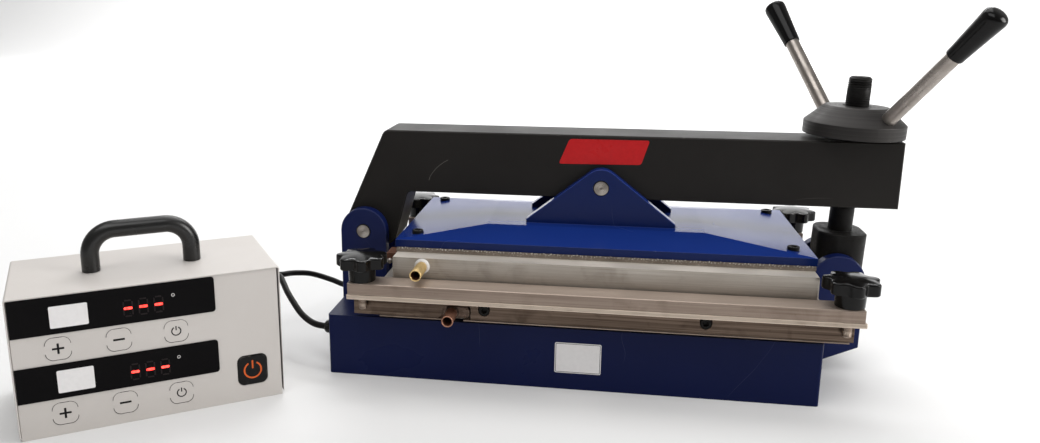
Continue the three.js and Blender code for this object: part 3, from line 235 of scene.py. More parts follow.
class EffectBook:
    """Builds each shared effect once and places it in materials."""

    def __init__(self) -> None:
        """Starts with no group built."""
        self.groups: dict[Effect, bpy.types.NodeTree] = {}

    def place(self, wiring: Wiring, effect: Effect, **values: object) -> bpy.types.bpy_prop_collection:
        """Places an effect in a material.

        Args:
            wiring: Wiring of the material's tree.
            effect: Effect wanted.
            values: Inputs of the group.

        Returns:
            What comes out of the group, by name.
        """
        if effect not in self.groups:
            makers = {
                Effect.EDGE_WEAR: self._edge_wear,
                Effect.HANDLING: self._handling,
                Effect.BRUSHED: self._brushed,
                Effect.PEEL: self._peel,
                Effect.DUST: self._dust,
                Effect.FACING_UP: self._facing_up,
            }
            self.groups[effect] = makers[effect](effect.value)
        return wiring.add("ShaderNodeGroup", values, node_tree=self.groups[effect]).outputs

    @staticmethod
    def _start(name: str, inputs: dict[str, object], outputs: Sequence[str]) -> tuple[Wiring, object, object]:
        """Makes an empty group with its sockets.

        Args:
            name: Name of the group.
            inputs: First value of each input. None and tuples make vector inputs.
            outputs: Name of each value that comes out.

        Returns:
            The wiring, what comes in and what goes out, by name.
        """
        tree = bpy.data.node_groups.new(name, "ShaderNodeTree")
        for label, value in inputs.items():
            kind = "NodeSocketFloat" if isinstance(value, float) else "NodeSocketVector"
            socket = tree.interface.new_socket(label, in_out="INPUT", socket_type=kind)
            if value is not None:
                socket.default_value = value
        for label in outputs:
            tree.interface.new_socket(label, in_out="OUTPUT", socket_type="NodeSocketFloat")
        wiring = Wiring(tree)
        return wiring, wiring.add("NodeGroupInput").outputs, wiring.add("NodeGroupOutput").inputs

    def _edge_wear(self, name: str) -> bpy.types.NodeTree:
        """Mask of rubbed edges, the rounded edges of a piece broken up by noise, and the whole rim, which finishes
        lighten as a painted edge highlight.

        Args:
            name: Name of the group.

        Returns:
            The group.
        """
        w, given, out = self._start(name, {"Vector": None, "Scale": 60.0, "Amount": 0.5}, ["Mask", "Rim"])
        rim = w.add("ShaderNodeAttribute", attribute_name=RIM).outputs["Fac"]
        coarse = w.noise(given["Vector"], given["Scale"], detail=4.0)
        limit = w.math("SUBTRACT", 0.78, w.times(given["Amount"], 0.5))
        worn = w.ramp(coarse, limit, w.math("ADD", limit, 0.06))
        w.join(w.times(rim, worn), out["Mask"])
        w.join(rim, out["Rim"])
        return w.tree

    def _handling(self, name: str) -> bpy.types.NodeTree:
        """Soft clouds, small specks and long thin scratches.

        Args:
            name: Name of the group.

        Returns:
            The group.
        """
        w, given, out = self._start(name, {"Vector": None, "Scale": 10.0}, ["Cloud", "Specks", "Lines"])
        vector, scale = given["Vector"], given["Scale"]
        w.join(w.ramp(w.noise(vector, scale, detail=5.0, twist=0.4), 0.3, 0.7), out["Cloud"])
        w.join(w.ramp(w.noise(vector, w.times(scale, 22.0), detail=1.0), 0.735, 0.76), out["Specks"])
        contour = w.noise(vector, w.times(scale, 0.55), detail=1.0, twist=1.2)
        line = w.ramp(w.math("ABSOLUTE", w.math("SUBTRACT", contour, 0.5)), 0.0012, 0.0)
        gate = w.ramp(w.noise(vector, w.times(scale, 1.7), detail=0.0), 0.56, 0.64)
        w.join(w.times(line, gate), out["Lines"])
        return w.tree

    def _brushed(self, name: str) -> bpy.types.NodeTree:
        """Fine streaks along one direction, as a belt grinder leaves.

        Args:
            name: Name of the group.

        Returns:
            The group.
        """
        inputs = {"Vector": None, "Stretch": (20.0, 900.0, 900.0)}
        w, given, out = self._start(name, inputs, ["Streaks", "Height"])
        ports = {0: given["Vector"], 1: given["Stretch"]}
        along = w.add("ShaderNodeVectorMath", ports, operation="MULTIPLY").outputs[0]
        coarse = w.times(w.noise(along, 1.0, detail=5.0), 0.6)
        both = w.math("ADD", coarse, w.times(w.noise(along, 3.3), 0.4))
        w.join(w.ramp(both, 0.36, 0.64), out["Streaks"])
        w.join(both, out["Height"])
        return w.tree

    def _peel(self, name: str) -> bpy.types.NodeTree:
        """Gentle orange peel of sprayed and powder-coated paint.

        Args:
            name: Name of the group.

        Returns:
            The group.
        """
        w, given, out = self._start(name, {"Vector": None, "Scale": 420.0}, ["Height"])
        broad = w.noise(given["Vector"], given["Scale"], detail=1.0)
        low = w.noise(given["Vector"], w.times(given["Scale"], 0.22), detail=0.0)
        w.join(w.math("ADD", broad, w.times(low, 0.8)), out["Height"])
        return w.tree

    def _dust(self, name: str) -> bpy.types.NodeTree:
        """Fine dust on what faces up.

        Args:
            name: Name of the group.

        Returns:
            The group.
        """
        w, given, out = self._start(name, {"Vector": None, "Amount": 0.2}, ["Mask"])
        fleck = w.ramp(w.noise(given["Vector"], 260.0, detail=6.0), 0.42, 0.75)
        patch = w.ramp(w.noise(given["Vector"], 9.0, detail=3.0), 0.3, 0.75, first=0.35)
        share = w.times(w.times(fleck, patch), w.ramp(self._height_of_normal(w), 0.55, 1.0))
        w.join(w.times(share, given["Amount"]), out["Mask"])
        return w.tree

    def _facing_up(self, name: str) -> bpy.types.NodeTree:
        """Mask of what faces up, from one height of the normal to another.

        Args:
            name: Name of the group.

        Returns:
            The group.
        """
        w, given, out = self._start(name, {"Low": 0.1, "High": 0.4}, ["Mask"])
        w.join(w.ramp(self._height_of_normal(w), given["Low"], given["High"]), out["Mask"])
        return w.tree

    @staticmethod
    def _height_of_normal(w: Wiring) -> bpy.types.NodeSocket:
        """Upward part of the surface's normal."""
        normal = w.add("ShaderNodeNewGeometry").outputs["Normal"]
        return w.add("ShaderNodeSeparateXYZ", {0: normal}).outputs["Z"]


EFFECTS = EffectBook()


@dataclass(frozen=True)
class Finish:
    """Surface of one kind of piece, in display colours. Subclasses add their own detail."""

    name: str
    slot: Slot
    colour: Shade
    roughness: float
    tint: Shade
    metallic: float = 0.0
    specular: float = 0.5

    def material(self) -> bpy.types.Material:
        """Material of this finish, made on first use.

        Returns:
            The material.
        """
        known = bpy.data.materials.get(self.name)
        if known is not None:
            return known
        made = bpy.data.materials.new(self.name)
        made.use_nodes = True
        made.node_tree.nodes.clear()
        w = Wiring(made.node_tree)
        shader = w.add("ShaderNodeBsdfPrincipled")
        shader.inputs["Metallic"].default_value = self.metallic
        shader.inputs["Specular IOR Level"].default_value = self.specular
        self.dress(w, shader.inputs, w.add("ShaderNodeTexCoord").outputs["Object"])
        w.add("ShaderNodeOutputMaterial", {"Surface": shader.outputs["BSDF"]})
        made.diffuse_color = (*linear(*self.colour), 1.0)
        return made

    def dress(self, w: Wiring, ports: bpy.types.bpy_prop_collection, place: bpy.types.NodeSocket) -> None:
        """Joins this finish's colours, roughness and bump to the shader.

        Args:
            w: Wiring of the material.
            ports: Inputs of the shader.
            place: Object coordinates.
        """
        raise NotImplementedError


@dataclass(frozen=True)
class Paint(Finish):
    """Sprayed paint or powder coat. Its painted side shade deepens what doesn't face up, which is shade painted
    onto upright faces.
    """

    bare: Shade = (150, 150, 150)
    wear: float = 0.3
    dust: float = 0.1
    marks: float = 0.3
    peel_scale: float = 420.0
    peel: float = 0.12
    # Share of the paint colour left on faces that don't face up: painted shade.
    side_tone: float = 1.0

    def dress(self, w: Wiring, ports: bpy.types.bpy_prop_collection, place: bpy.types.NodeSocket) -> None:
        """Paint with uneven gloss, rubbed edges, a painted highlight on every rounded edge, painted shade on
        upright faces where asked, thin scratches and a little dust.

        Args:
            w: Wiring of the material.
            ports: Inputs of the shader.
            place: Object coordinates.
        """
        marks = EFFECTS.place(w, Effect.HANDLING, Vector=place, Scale=9.0)
        worn = EFFECTS.place(w, Effect.EDGE_WEAR, Vector=place, Scale=60.0, Amount=self.wear)
        dust = EFFECTS.place(w, Effect.DUST, Vector=place, Amount=self.dust)["Mask"]
        peel = EFFECTS.place(w, Effect.PEEL, Vector=place, Scale=self.peel_scale)["Height"]
        colour = w.tinge(linear(*self.colour), marks["Cloud"], 0.7, linear(*self.tint))
        # Painted shade: faces that don't face up take a deeper copy of the paint colour.
        if self.side_tone < 1.0:
            up = EFFECTS.place(w, Effect.FACING_UP, Low=0.1, High=0.4)["Mask"]
            colour = w.mix(up, toned(self.colour, self.side_tone), colour)
        # Thin scratches, a painted highlight along every rounded edge, and rubbed edges, each toward the bare
        # colour.
        for mask, share in ((marks["Lines"], self.marks), (worn["Rim"], 0.12), (worn["Mask"], 0.75)):
            colour = w.tinge(colour, mask, share, linear(*self.bare))
        w.join(w.mix(dust, colour, linear(168, 160, 148)), ports["Base Color"])
        cloud = w.around(marks["Cloud"], self.roughness, 0.82, 1.2)
        w.join(w.total(cloud, w.times(marks["Lines"], 0.2), w.times(dust, 0.8)), ports["Roughness"])
        w.join(w.bump(peel, self.peel, distance=0.0004), ports["Normal"])


@dataclass(frozen=True)
class Metal(Finish):
    """Bare metal, ground or machined along one direction. What faces up is made less metallic and painted paler as
    painted top light, and its rounded edges take a painted highlight.
    """

    metallic: float = 1.0
    stain: Shade = (120, 110, 100)
    stretch: Point = (20.0, 900.0, 900.0)
    streak: float = 0.35
    stained: float = 0.3
    # How far rounded edges are lightened: a painted edge highlight.
    bright: float = 0.35
    # Metallic taken off what faces up, which is also painted paler as painted top light.
    matte: float = 0.0

    def dress(self, w: Wiring, ports: bpy.types.bpy_prop_collection, place: bpy.types.NodeSocket) -> None:
        """Streaked metal with stains and scratches, a painted highlight on its rounded edges and painted top light
        on what faces up.

        Args:
            w: Wiring of the material.
            ports: Inputs of the shader.
            place: Object coordinates.
        """
        grain = EFFECTS.place(w, Effect.BRUSHED, Vector=place, Stretch=self.stretch)
        marks = EFFECTS.place(w, Effect.HANDLING, Vector=place, Scale=14.0)
        worn = EFFECTS.place(w, Effect.EDGE_WEAR, Vector=place, Scale=30.0, Amount=0.9)
        blotch = w.ramp(w.noise(place, 38.0, detail=6.0, twist=0.8), 0.52, 0.72)
        pale = toned(self.colour, 1.35)
        colour = w.tinge(linear(*self.colour), grain["Streaks"], self.streak, linear(*self.tint))
        for mask in (blotch, marks["Specks"]):
            colour = w.tinge(colour, mask, self.stained, linear(*self.stain))
        # Painted highlight: every rounded edge is lightened toward a paler copy of the colour.
        colour = w.tinge(colour, worn["Rim"], self.bright, pale)
        # Painted top light: what faces up is painted paler and made less metallic.
        if self.matte:
            up = EFFECTS.place(w, Effect.FACING_UP, Low=0.35, High=0.9)["Mask"]
            colour = w.mix(up, colour, pale)
            w.join(w.math("SUBTRACT", self.metallic, w.times(up, self.matte)), ports["Metallic"])
        w.join(colour, ports["Base Color"])
        rough = w.around(grain["Streaks"], self.roughness, 0.75, 1.25)
        cloud = w.times(marks["Cloud"], self.roughness * 0.35)
        w.join(w.total(rough, cloud, w.times(blotch, 0.15)), ports["Roughness"])
        first = w.bump(grain["Height"], strength=0.25, distance=0.0001)
        w.join(w.bump(marks["Lines"], 0.4, 0.0001, first), ports["Normal"])


@dataclass(frozen=True)
class Turned(Finish):
    """Metal faced on a lathe, with rings round its own axis.

    Its painted reflection is a two-way light painted on a faced end, and the rim is the radius where a painted
    shadow ring starts.
    """

    metallic: float = 1.0
    centre: Point = (0.0, 0.0, 0.0)
    turn: Point = (0.0, 0.0, 0.0)
    ring_scale: float = 1800.0
    sheen: float = 0.0
    rim: float = 0.0

    def dress(self, w: Wiring, ports: bpy.types.bpy_prop_collection, place: bpy.types.NodeSocket) -> None:
        """Rings by the distance from the axis and by the height along it, with a painted highlight on rounded
        edges and, where asked, a painted reflection and a painted shadow ring.

        Args:
            w: Wiring of the material.
            ports: Inputs of the shader.
            place: Object coordinates.
        """
        mapping = {"Vector": place, "Location": self.centre, "Rotation": self.turn}
        local = w.add("ShaderNodeMapping", mapping, vector_type="TEXTURE").outputs[0]
        parts = w.add("ShaderNodeSeparateXYZ", {0: local}).outputs
        squares = w.math("ADD", w.math("POWER", parts["X"], 2.0), w.math("POWER", parts["Y"], 2.0))
        across = w.math("POWER", squares, 0.5)
        rings = w.add("ShaderNodeCombineXYZ", {"X": across, "Y": parts["Z"]}).outputs[0]
        lines = w.ramp(w.noise(rings, self.ring_scale, detail=4.0), 0.35, 0.65)
        marks = EFFECTS.place(w, Effect.HANDLING, Vector=place, Scale=26.0)
        worn = EFFECTS.place(w, Effect.EDGE_WEAR, Vector=place, Scale=90.0, Amount=0.9)
        tint = linear(*self.tint)
        colour = w.tinge(linear(*self.colour), lines, 0.4, tint)
        # Painted reflection: two bright and two dark sectors round the axis of a faced end.
        if self.sheen:
            angle = w.times(w.math("ARCTAN2", parts["Y"], parts["X"]), 2.0)
            reflection_sector = w.ramp(w.math("SINE", w.math("ADD", angle, 0.6)), -0.6, 0.9)
            colour = w.tinge(colour, reflection_sector, self.sheen, tint)
        # Painted shadow ring: a dark band from the rim radius outward, where the pin meets its hole.
        if self.rim:
            colour = w.mix(w.ramp(across, self.rim - 0.0002, self.rim + 0.0001), colour, toned(self.tint, 0.12))
        # Painted highlight on every rounded edge.
        w.join(w.tinge(colour, worn["Rim"], 0.3, toned(self.colour, 1.8, 0.02)), ports["Base Color"])
        rough = w.around(lines, self.roughness, 0.85, 1.15)
        w.join(w.total(rough, w.times(marks["Cloud"], self.roughness * 0.3)), ports["Roughness"])
        first = w.bump(lines, strength=0.2, distance=0.00005)
        w.join(w.bump(marks["Lines"], 0.3, 0.0001, first), ports["Normal"])


@dataclass(frozen=True)
class Moulded(Finish):
    """Moulded plastic or rubber."""

    texture_scale: float = 900.0
    texture: float = 0.08
    dust: float = 0.06

    def dress(self, w: Wiring, ports: bpy.types.bpy_prop_collection, place: bpy.types.NodeSocket) -> None:
        """Plastic with a fine skin, finger marks and a trace of dust.

        Args:
            w: Wiring of the material.
            ports: Inputs of the shader.
            place: Object coordinates.
        """
        marks = EFFECTS.place(w, Effect.HANDLING, Vector=place, Scale=24.0)["Cloud"]
        worn = EFFECTS.place(w, Effect.EDGE_WEAR, Vector=place, Scale=120.0, Amount=0.4)["Mask"]
        dust = EFFECTS.place(w, Effect.DUST, Vector=place, Amount=self.dust)["Mask"]
        skin = EFFECTS.place(w, Effect.PEEL, Vector=place, Scale=self.texture_scale)["Height"]
        colour = w.mix(marks, linear(*self.colour), linear(*self.tint))
        colour = w.tinge(colour, worn, 0.25, linear(120, 116, 110))
        w.join(w.mix(dust, colour, linear(150, 144, 136)), ports["Base Color"])
        rough = w.around(marks, self.roughness, 0.8, 1.25)
        w.join(w.total(rough, w.times(dust, 0.6)), ports["Roughness"])
        w.join(w.bump(skin, self.texture, distance=0.0002), ports["Normal"])


@dataclass(frozen=True)
class Board(Finish):
    """Pressed insulation board with loose fibres."""

    layer_scale: Point = (30.0, 30.0, 1400.0)

    def dress(self, w: Wiring, ports: bpy.types.bpy_prop_collection, place: bpy.types.NodeSocket) -> None:
        """Layered board with pale flecks.

        Args:
            w: Wiring of the material.
            ports: Inputs of the shader.
            place: Object coordinates.
        """
        layers = EFFECTS.place(w, Effect.BRUSHED, Vector=place, Stretch=self.layer_scale)
        flecks = w.ramp(w.noise(place, 620.0, detail=4.0), 0.56, 0.7)
        patch = w.ramp(w.noise(place, 45.0, detail=4.0), 0.35, 0.7)
        colour = w.tinge(linear(*self.colour), layers["Streaks"], 0.7, linear(*self.tint))
        colour = w.tinge(colour, flecks, 0.7, linear(190, 184, 172))
        w.join(w.tinge(colour, patch, 0.35, linear(74, 62, 52)), ports["Base Color"])
        w.join(w.ramp(flecks, 0.0, 1.0, self.roughness, 1.0), ports["Roughness"])
        height = w.math("ADD", layers["Height"], flecks)
        w.join(w.bump(height, strength=0.5, distance=0.0006), ports["Normal"])


@dataclass(frozen=True)
class Print(Finish):
    """Printed film, paper or ink."""

    specular: float = 0.2
    glow: float = 0.0

    def dress(self, w: Wiring, ports: bpy.types.bpy_prop_collection, place: bpy.types.NodeSocket) -> None:
        """Even print with a faint mottle, lit where it glows.

        Args:
            w: Wiring of the material.
            ports: Inputs of the shader.
            place: Object coordinates.
        """
        mottle = w.ramp(w.noise(place, 320.0, detail=3.0), 0.3, 0.7)
        smear = EFFECTS.place(w, Effect.HANDLING, Vector=place, Scale=30.0)["Cloud"]
        colour = w.tinge(linear(*self.colour), mottle, 0.6, linear(*self.tint))
        w.join(colour, ports["Base Color"])
        w.join(w.around(smear, self.roughness, 0.8, 1.2), ports["Roughness"])
        if self.glow:
            w.join(colour, ports["Emission Color"])
            ports["Emission Strength"].default_value = self.glow


# A darker copy of the blue paint: its darkness is painted shade standing in for the dim light on the base.
SHADED_BASE_BLUE = Paint(
    "dark blue powder coat", Slot.BLUE, (12, 22, 64), 0.3, (10, 19, 57), bare=(110, 116, 140),
    wear=0.25, dust=0.04, marks=0.2, peel=0.1, specular=0.1,
)
# Upright faces of this paint take painted shade, a deeper copy of the blue.
PRESS_BLUE = Paint(
    "blue enamel", Slot.BLUE, (23, 48, 120), 0.22, (18, 41, 106), bare=(120, 128, 160),
    wear=0.25, dust=0.0, marks=0.12, peel=0.003, specular=0.14, side_tone=0.45,
)
# A copy of the blue paint, darker than the plate's and paler than the base's; the difference is painted shade.
SHADED_EAR_BLUE = Paint(
    "blue ear paint", Slot.BLUE, (17, 30, 80), 0.3, (14, 25, 70), bare=(110, 116, 140),
    wear=0.25, dust=0.0, marks=0.2, peel=0.1, specular=0.14,
)
BLACK = Paint(
    "black arm paint", Slot.BLACK, (37, 35, 33), 0.46, (31, 29, 28), bare=(120, 116, 110),
    wear=0.2, dust=0.03, marks=0.3, peel_scale=700.0, peel=0.16, specular=0.12,
)
BOX = Paint(
    "pale grey powder coat", Slot.BOX, (202, 197, 193), 0.45, (195, 190, 185), bare=(226, 223, 219),
    wear=0.15, dust=0.0, marks=0.12, peel_scale=900.0, peel=0.1, specular=0.25,
)
PLATEN = Metal(
    "ground aluminium", Slot.PLATEN, (186, 180, 172), 0.44, (164, 156, 147), stain=(120, 106, 92),
    stretch=(8.0, 8.0, 900.0), streak=0.4, stained=0.15, bright=0.9, matte=0.36,
)
STEEL = Metal(
    "brushed stainless strip", Slot.STEEL, (150, 136, 125), 0.36, (122, 103, 91), stain=(104, 84, 70),
    stretch=(6.0, 900.0, 900.0), streak=0.5, stained=0.2, bright=0.1, matte=0.55,
)
# A paler copy of the stainless with strong rim lightening: a painted highlight along the jaw.
LIT_JAW_STEEL = Metal(
    "bright jaw strip", Slot.STEEL, (190, 176, 162), 0.36, (160, 145, 131), stain=(104, 88, 74),
    stretch=(12.0, 900.0, 900.0), streak=0.4, stained=0.2, bright=0.9,
)
# Darker and more streaked than the other stainless strips.
RAIL_STEEL = Metal(
    "dulled rail strip", Slot.STEEL, (110, 95, 84), 0.34, (62, 51, 43), stain=(60, 48, 40),
    stretch=(5.0, 420.0, 420.0), streak=0.85, stained=0.4, bright=0.45, matte=0.4,
)
ROD_STEEL = Metal(
    "satin handle rod", Slot.STEEL, (160, 153, 147), 0.24, (122, 114, 107), stain=(120, 108, 96),
    stretch=(60.0, 60.0, 60.0), streak=0.3, stained=0.1, bright=0.2,
)
BRASS = Metal(
    "pale brass", Slot.BRASS, (226, 196, 138), 0.34, (198, 166, 108), stain=(130, 100, 70),
    stretch=(200.0, 200.0, 200.0), streak=0.4, stained=0.2, bright=0.4, metallic=0.7,
)
COPPERY = Metal(
    "heated brass", Slot.BRASS, (176, 130, 108), 0.34, (134, 92, 73), stain=(66, 46, 38),
    stretch=(200.0, 200.0, 200.0), streak=0.5, stained=0.5, bright=0.9, metallic=0.7,
)
BRAZE = Metal(
    "braze bead", Slot.BRASS, (136, 118, 106), 0.45, (90, 76, 67), stain=(44, 36, 32),
    stretch=(300.0, 300.0, 300.0), streak=0.6, stained=0.6, bright=0.2,
)
OXIDE = Metal(
    "black oxide", Slot.OXIDE, (24, 23, 22), 0.42, (18, 17, 17), stain=(40, 35, 30),
    stretch=(160.0, 160.0, 160.0), streak=0.4, stained=0.15, bright=0.7, metallic=0.3, specular=0.2,
)
PLASTIC = Moulded(
    "glossy black plastic", Slot.PLASTIC, (7, 7, 7), 0.16, (13, 12, 12), texture=0.05, dust=0.02, specular=0.2
)
HANDLE = Moulded("satin black handle", Slot.PLASTIC, (15, 15, 15), 0.3, (22, 21, 20), texture=0.05, dust=0.02)
RUBBER = Moulded(
    "black cable jacket", Slot.RUBBER, (11, 10, 10), 0.42, (16, 15, 14),
    texture_scale=1500.0, texture=0.1, dust=0.0, specular=0.14,
)
RESIN = Moulded(
    "brown moulded resin", Slot.RESIN, (112, 72, 54), 0.6, (88, 56, 42),
    texture_scale=600.0, texture=0.3, specular=0.3,
)
GLASS = Moulded(
    "display film", Slot.GLASS, (10, 9, 10), 0.2, (13, 12, 13),
    texture_scale=1800.0, texture=0.03, dust=0.0, specular=0.05,
)
TAPE = Moulded("white thread tape", Slot.BOX, (226, 224, 222), 0.6, (206, 202, 198), texture=0.3, dust=0.0)
BOARD = Board("insulation board", Slot.BOARD, (140, 129, 117), 0.85, (104, 92, 82))
FIBRE = Board("torn fibres", Slot.BOX, (236, 232, 224), 0.8, (200, 194, 184))
WHITE_LABEL = Print("white label film", Slot.BOX, (232, 230, 230), 0.35, (224, 222, 222))
RED_LABEL = Print("red label film", Slot.BOX, (196, 26, 30), 0.3, (182, 20, 26))
SCRATCH = Print("scratched paint", Slot.BLACK, (92, 88, 84), 0.5, (76, 72, 68))
DARK_INK = Print("dark key ink", Slot.GLASS, (18, 16, 16), 0.5, (28, 25, 25))
PALE_INK = Print("pale mark ink", Slot.BOX, (200, 198, 198), 0.4, (180, 178, 178))
ORANGE_INK = Print("orange ring ink", Slot.RESIN, (214, 96, 40), 0.4, (190, 84, 36))
LED_RED = Print("lit red segment", Slot.GLASS, (255, 44, 36), 0.4, (255, 90, 80), glow=3.0)
LED_DARK = Print("unlit segment", Slot.GLASS, (21, 10, 11), 0.35, (17, 9, 10))
PAINTED_BORE_SHADE = Print("dark bore", Slot.OXIDE, (96, 60, 46), 0.6, (62, 38, 29))


# ---------------------------------------------------------------- mesh making


def fractions_of_turn(count: int) -> list[float]:
    """Angles that divide a full turn evenly."""
    return [i / count * math.tau for i in range(count)]


def arc(cx: float, cy: float, radius: float, start: float, end: float, steps: int) -> list[Flat]:
    """Points on an arc.

    Args:
        cx: Centre in x.
        cy: Centre in y.
        radius: Radius.
        start: First angle in degrees.
        end: Last angle in degrees.
        steps: Number of spans.

    Returns:
        The points, both ends with them.
    """
    angles = (math.radians(start + (end - start) * i / steps) for i in range(steps + 1))
    return [(cx + radius * math.cos(a), cy + radius * math.sin(a)) for a in angles]


def rounded(width: float, height: float, radius: float, steps: int = 5) -> list[Flat]:
    """Outline of a rounded rectangle about the origin.

    Args:
        width: Size in x.
        height: Size in y.
        radius: Radius of its corners.
        steps: Spans in each corner.

    Returns:
        The outline.
    """
    x, y = width / 2 - radius, height / 2 - radius
    corners = [(x, -y, -90), (x, y, 0), (-x, y, 90), (-x, -y, 180)]
    return [p for cx, cy, start in corners for p in arc(cx, cy, radius, start, start + 90, steps)]


def soft_corners(corners: Sequence[Flat], radius: float, steps: int = 5) -> list[Flat]:
    """Rounds the corners of an outline.

    Args:
        corners: Corner points.
        radius: Distance from each corner at which its curve starts.
        steps: Spans in each curve.

    Returns:
        The rounded outline.
    """
    points: list[Flat] = []
    for before, here, after in zip([corners[-1], *corners], corners, [*corners[1:], corners[0]]):
        spot = Vector(here)
        start = spot + (Vector(before) - spot).normalized() * radius
        end = spot + (Vector(after) - spot).normalized() * radius
        for step in range(steps + 1):
            t = step / steps
            point = start * (1 - t) ** 2 + spot * 2 * t * (1 - t) + end * t**2
            points.append((point.x, point.y))
    return points


def upright(x: float, y: float, z: float, direction: Point = (0.0, 0.0, 1.0)) -> Matrix:
    """Place at a point with +Z turned to a direction."""
    return Matrix.Translation((x, y, z)) @ Vector(direction).to_track_quat("Z", "Y").to_matrix().to_4x4()


def facing_front(x: float, y: float, z: float) -> Matrix:
    """Place at a point with +Z turned to the front."""
    return Matrix.Translation((x, y, z)) @ Matrix.Rotation(QUARTER, 4, "X")


def add_to_scene(name: str, data: bpy.types.ID) -> bpy.types.Object:
    """Makes an object of its data and puts it in the scene.

    Args:
        name: Name of the object.
        data: Mesh, curve, camera or light.

    Returns:
        The object.
    """
    made = bpy.data.objects.new(name, data)
    bpy.context.scene.collection.objects.link(made)
    return made


@dataclass
class Draft:
    """Vertices and faces of one piece, gathered in millimetres."""

    vertices: list[Vector] = field(default_factory=list)
    faces: list[tuple[int, ...]] = field(default_factory=list)
    marks: list[int] = field(default_factory=list)

    def add(self, vertices: Sequence[Vector], faces: Sequence[Sequence[int]], mark: int = 0) -> None:
        """Adds a patch.

        Args:
            vertices: Places of its vertices.
            faces: Its faces, by number within the patch.
            mark: Number of the finish that the faces take.
        """
        start = len(self.vertices)
        self.vertices.extend(vertices)
        self.faces.extend(tuple(start + i for i in face) for face in faces)
        self.marks.extend([mark] * len(faces))

    def loft(self, rings: Sequence[Sequence[Vector]], closed: bool = False, mark: int = 0) -> None:
        """Adds a skin over rings of points, with a face on each end where it isn't closed.

        Args:
            rings: Rings with the same number of points each.
            closed: Whether the last ring joins the first.
            mark: Number of the finish.
        """
        size = len(rings[0])
        points = [p for ring in rings for p in ring]
        faces = []
        for row in range(len(rings) if closed else len(rings) - 1):
            low, high = row * size, ((row + 1) % len(rings)) * size
            faces += [(low + k, low + (k + 1) % size, high + (k + 1) % size, high + k) for k in range(size)]
        if not closed:
            faces.append(tuple(reversed(range(size))))
            faces.append(tuple(range((len(rings) - 1) * size, len(rings) * size)))
        self.add(points, faces, mark)

    def lathe(self, profile: Sequence[Flat], sides: int, place: Matrix, mark: int = 0) -> None:
        """Adds a piece turned about +Z.

        Args:
            profile: Radius and height pairs. First equal to last makes a closed ring.
            sides: Number of sides.
            place: Where it stands.
            mark: Number of the finish.
        """
        closed = profile[0] == profile[-1]
        angles = fractions_of_turn(sides)
        rings = [
            [place @ Vector((r * math.cos(a), r * math.sin(a), z)) for a in angles]
            for r, z in (profile[:-1] if closed else profile)
        ]
        self.loft(rings, closed, mark)

    def prism(self, outline: Sequence[Flat], low: float, high: float, place: Matrix, mark: int = 0) -> None:
        """Adds an outline in x and y pulled along z.

        Args:
            outline: Points of the outline.
            low: Height of its foot.
            high: Height of its top.
            place: Where it stands.
            mark: Number of the finish.
        """
        self.loft([[place @ Vector((x, y, z)) for x, y in outline] for z in (low, high)], mark=mark)

    def stroke(
        self, outer: Sequence[Flat], inner: Sequence[Flat], low: float, high: float, place: Matrix, mark: int = 0
    ) -> None:
        """Adds a flat closed stroke between two outlines.

        Args:
            outer: Outer outline.
            inner: Inner outline with as many points.
            low: Height of its foot.
            high: Height of its face.
            place: Where it stands.
            mark: Number of its finish.
        """
        rows = ((outer, low), (outer, high), (inner, high), (inner, low))
        self.loft([[place @ Vector((x, y, z)) for x, y in line] for line, z in rows], True, mark)

    def ring_sign(self, place: Matrix, radius: float, stroke: float, height: float) -> None:
        """Adds an open ring with a bar in its gap.

        Args:
            place: Where it lies.
            radius: Radius to the middle of the stroke.
            stroke: Width of the stroke.
            height: Thickness of the print.
        """
        start, end, steps = 118, 422, 40
        outer = arc(0, 0, radius + stroke / 2, start, end, steps)
        inner = arc(0, 0, radius - stroke / 2, start, end, steps)
        count = len(outer)
        top = 2 * count
        points = [place @ Vector((x, y, z)) for z in (0.0, height) for x, y in [*outer, *inner]]
        faces = []
        for a in range(count - 1):
            b, c, d = a + 1, count + a + 1, count + a
            faces += [(top + a, top + b, top + c, top + d), (b, a, d, c)]
            faces += [(a, b, top + b, top + a), (c, d, top + d, top + c)]
        faces += [(0, top, top + count, count), (count - 1, top - 1, 2 * top - 1, top + count - 1)]
        self.add(points, faces)
        bar = place @ Matrix.Translation((0, radius * 0.72, 0))
        self.prism(rounded(stroke, radius * 1.05, stroke * 0.3, 2), 0.0, height, bar)

    def build(self, name: str, bevel: float = 0.0) -> bpy.types.Object:
        """Makes the object.

        Args:
            name: Name of the piece.
            bevel: Width of its rounded edges in millimetres.

        Returns:
            The object.
        """
        mesh = bpy.data.meshes.new(name)
        mesh.from_pydata([v * MM for v in self.vertices], [], self.faces)
        mesh.polygons.foreach_set("material_index", self.marks)
        for _ in range(max(self.marks) + 1):
            mesh.materials.append(None)
        body = bmesh.new()
        body.from_mesh(mesh)
        bmesh.ops.remove_doubles(body, verts=body.verts, dist=1e-6)
        bmesh.ops.dissolve_degenerate(body, edges=body.edges, dist=1e-7)
        bmesh.ops.recalc_face_normals(body, faces=body.faces)
        body.to_mesh(mesh)
        body.free()
        piece = add_to_scene(name, mesh)
        if bevel:
            round_edges(piece, bevel, 2, offset=max(self.marks) + 1)
        smooth(piece)
        return piece


def turned_piece(
    name: str, profile: Sequence[Flat], sides: int, place: Matrix, bevel: float = 0.0
) -> bpy.types.Object:
    """Makes a piece turned about +Z.

    Args:
        name: Name of the piece.
        profile: Radius and height pairs. First equal to last makes a closed ring.
        sides: Number of sides.
        place: Where it stands.
        bevel: Width of its rounded edges in millimetres.

    Returns:
        The piece.
    """
    draft = Draft()
    draft.lathe(profile, sides, place)
    return draft.build(name, bevel)


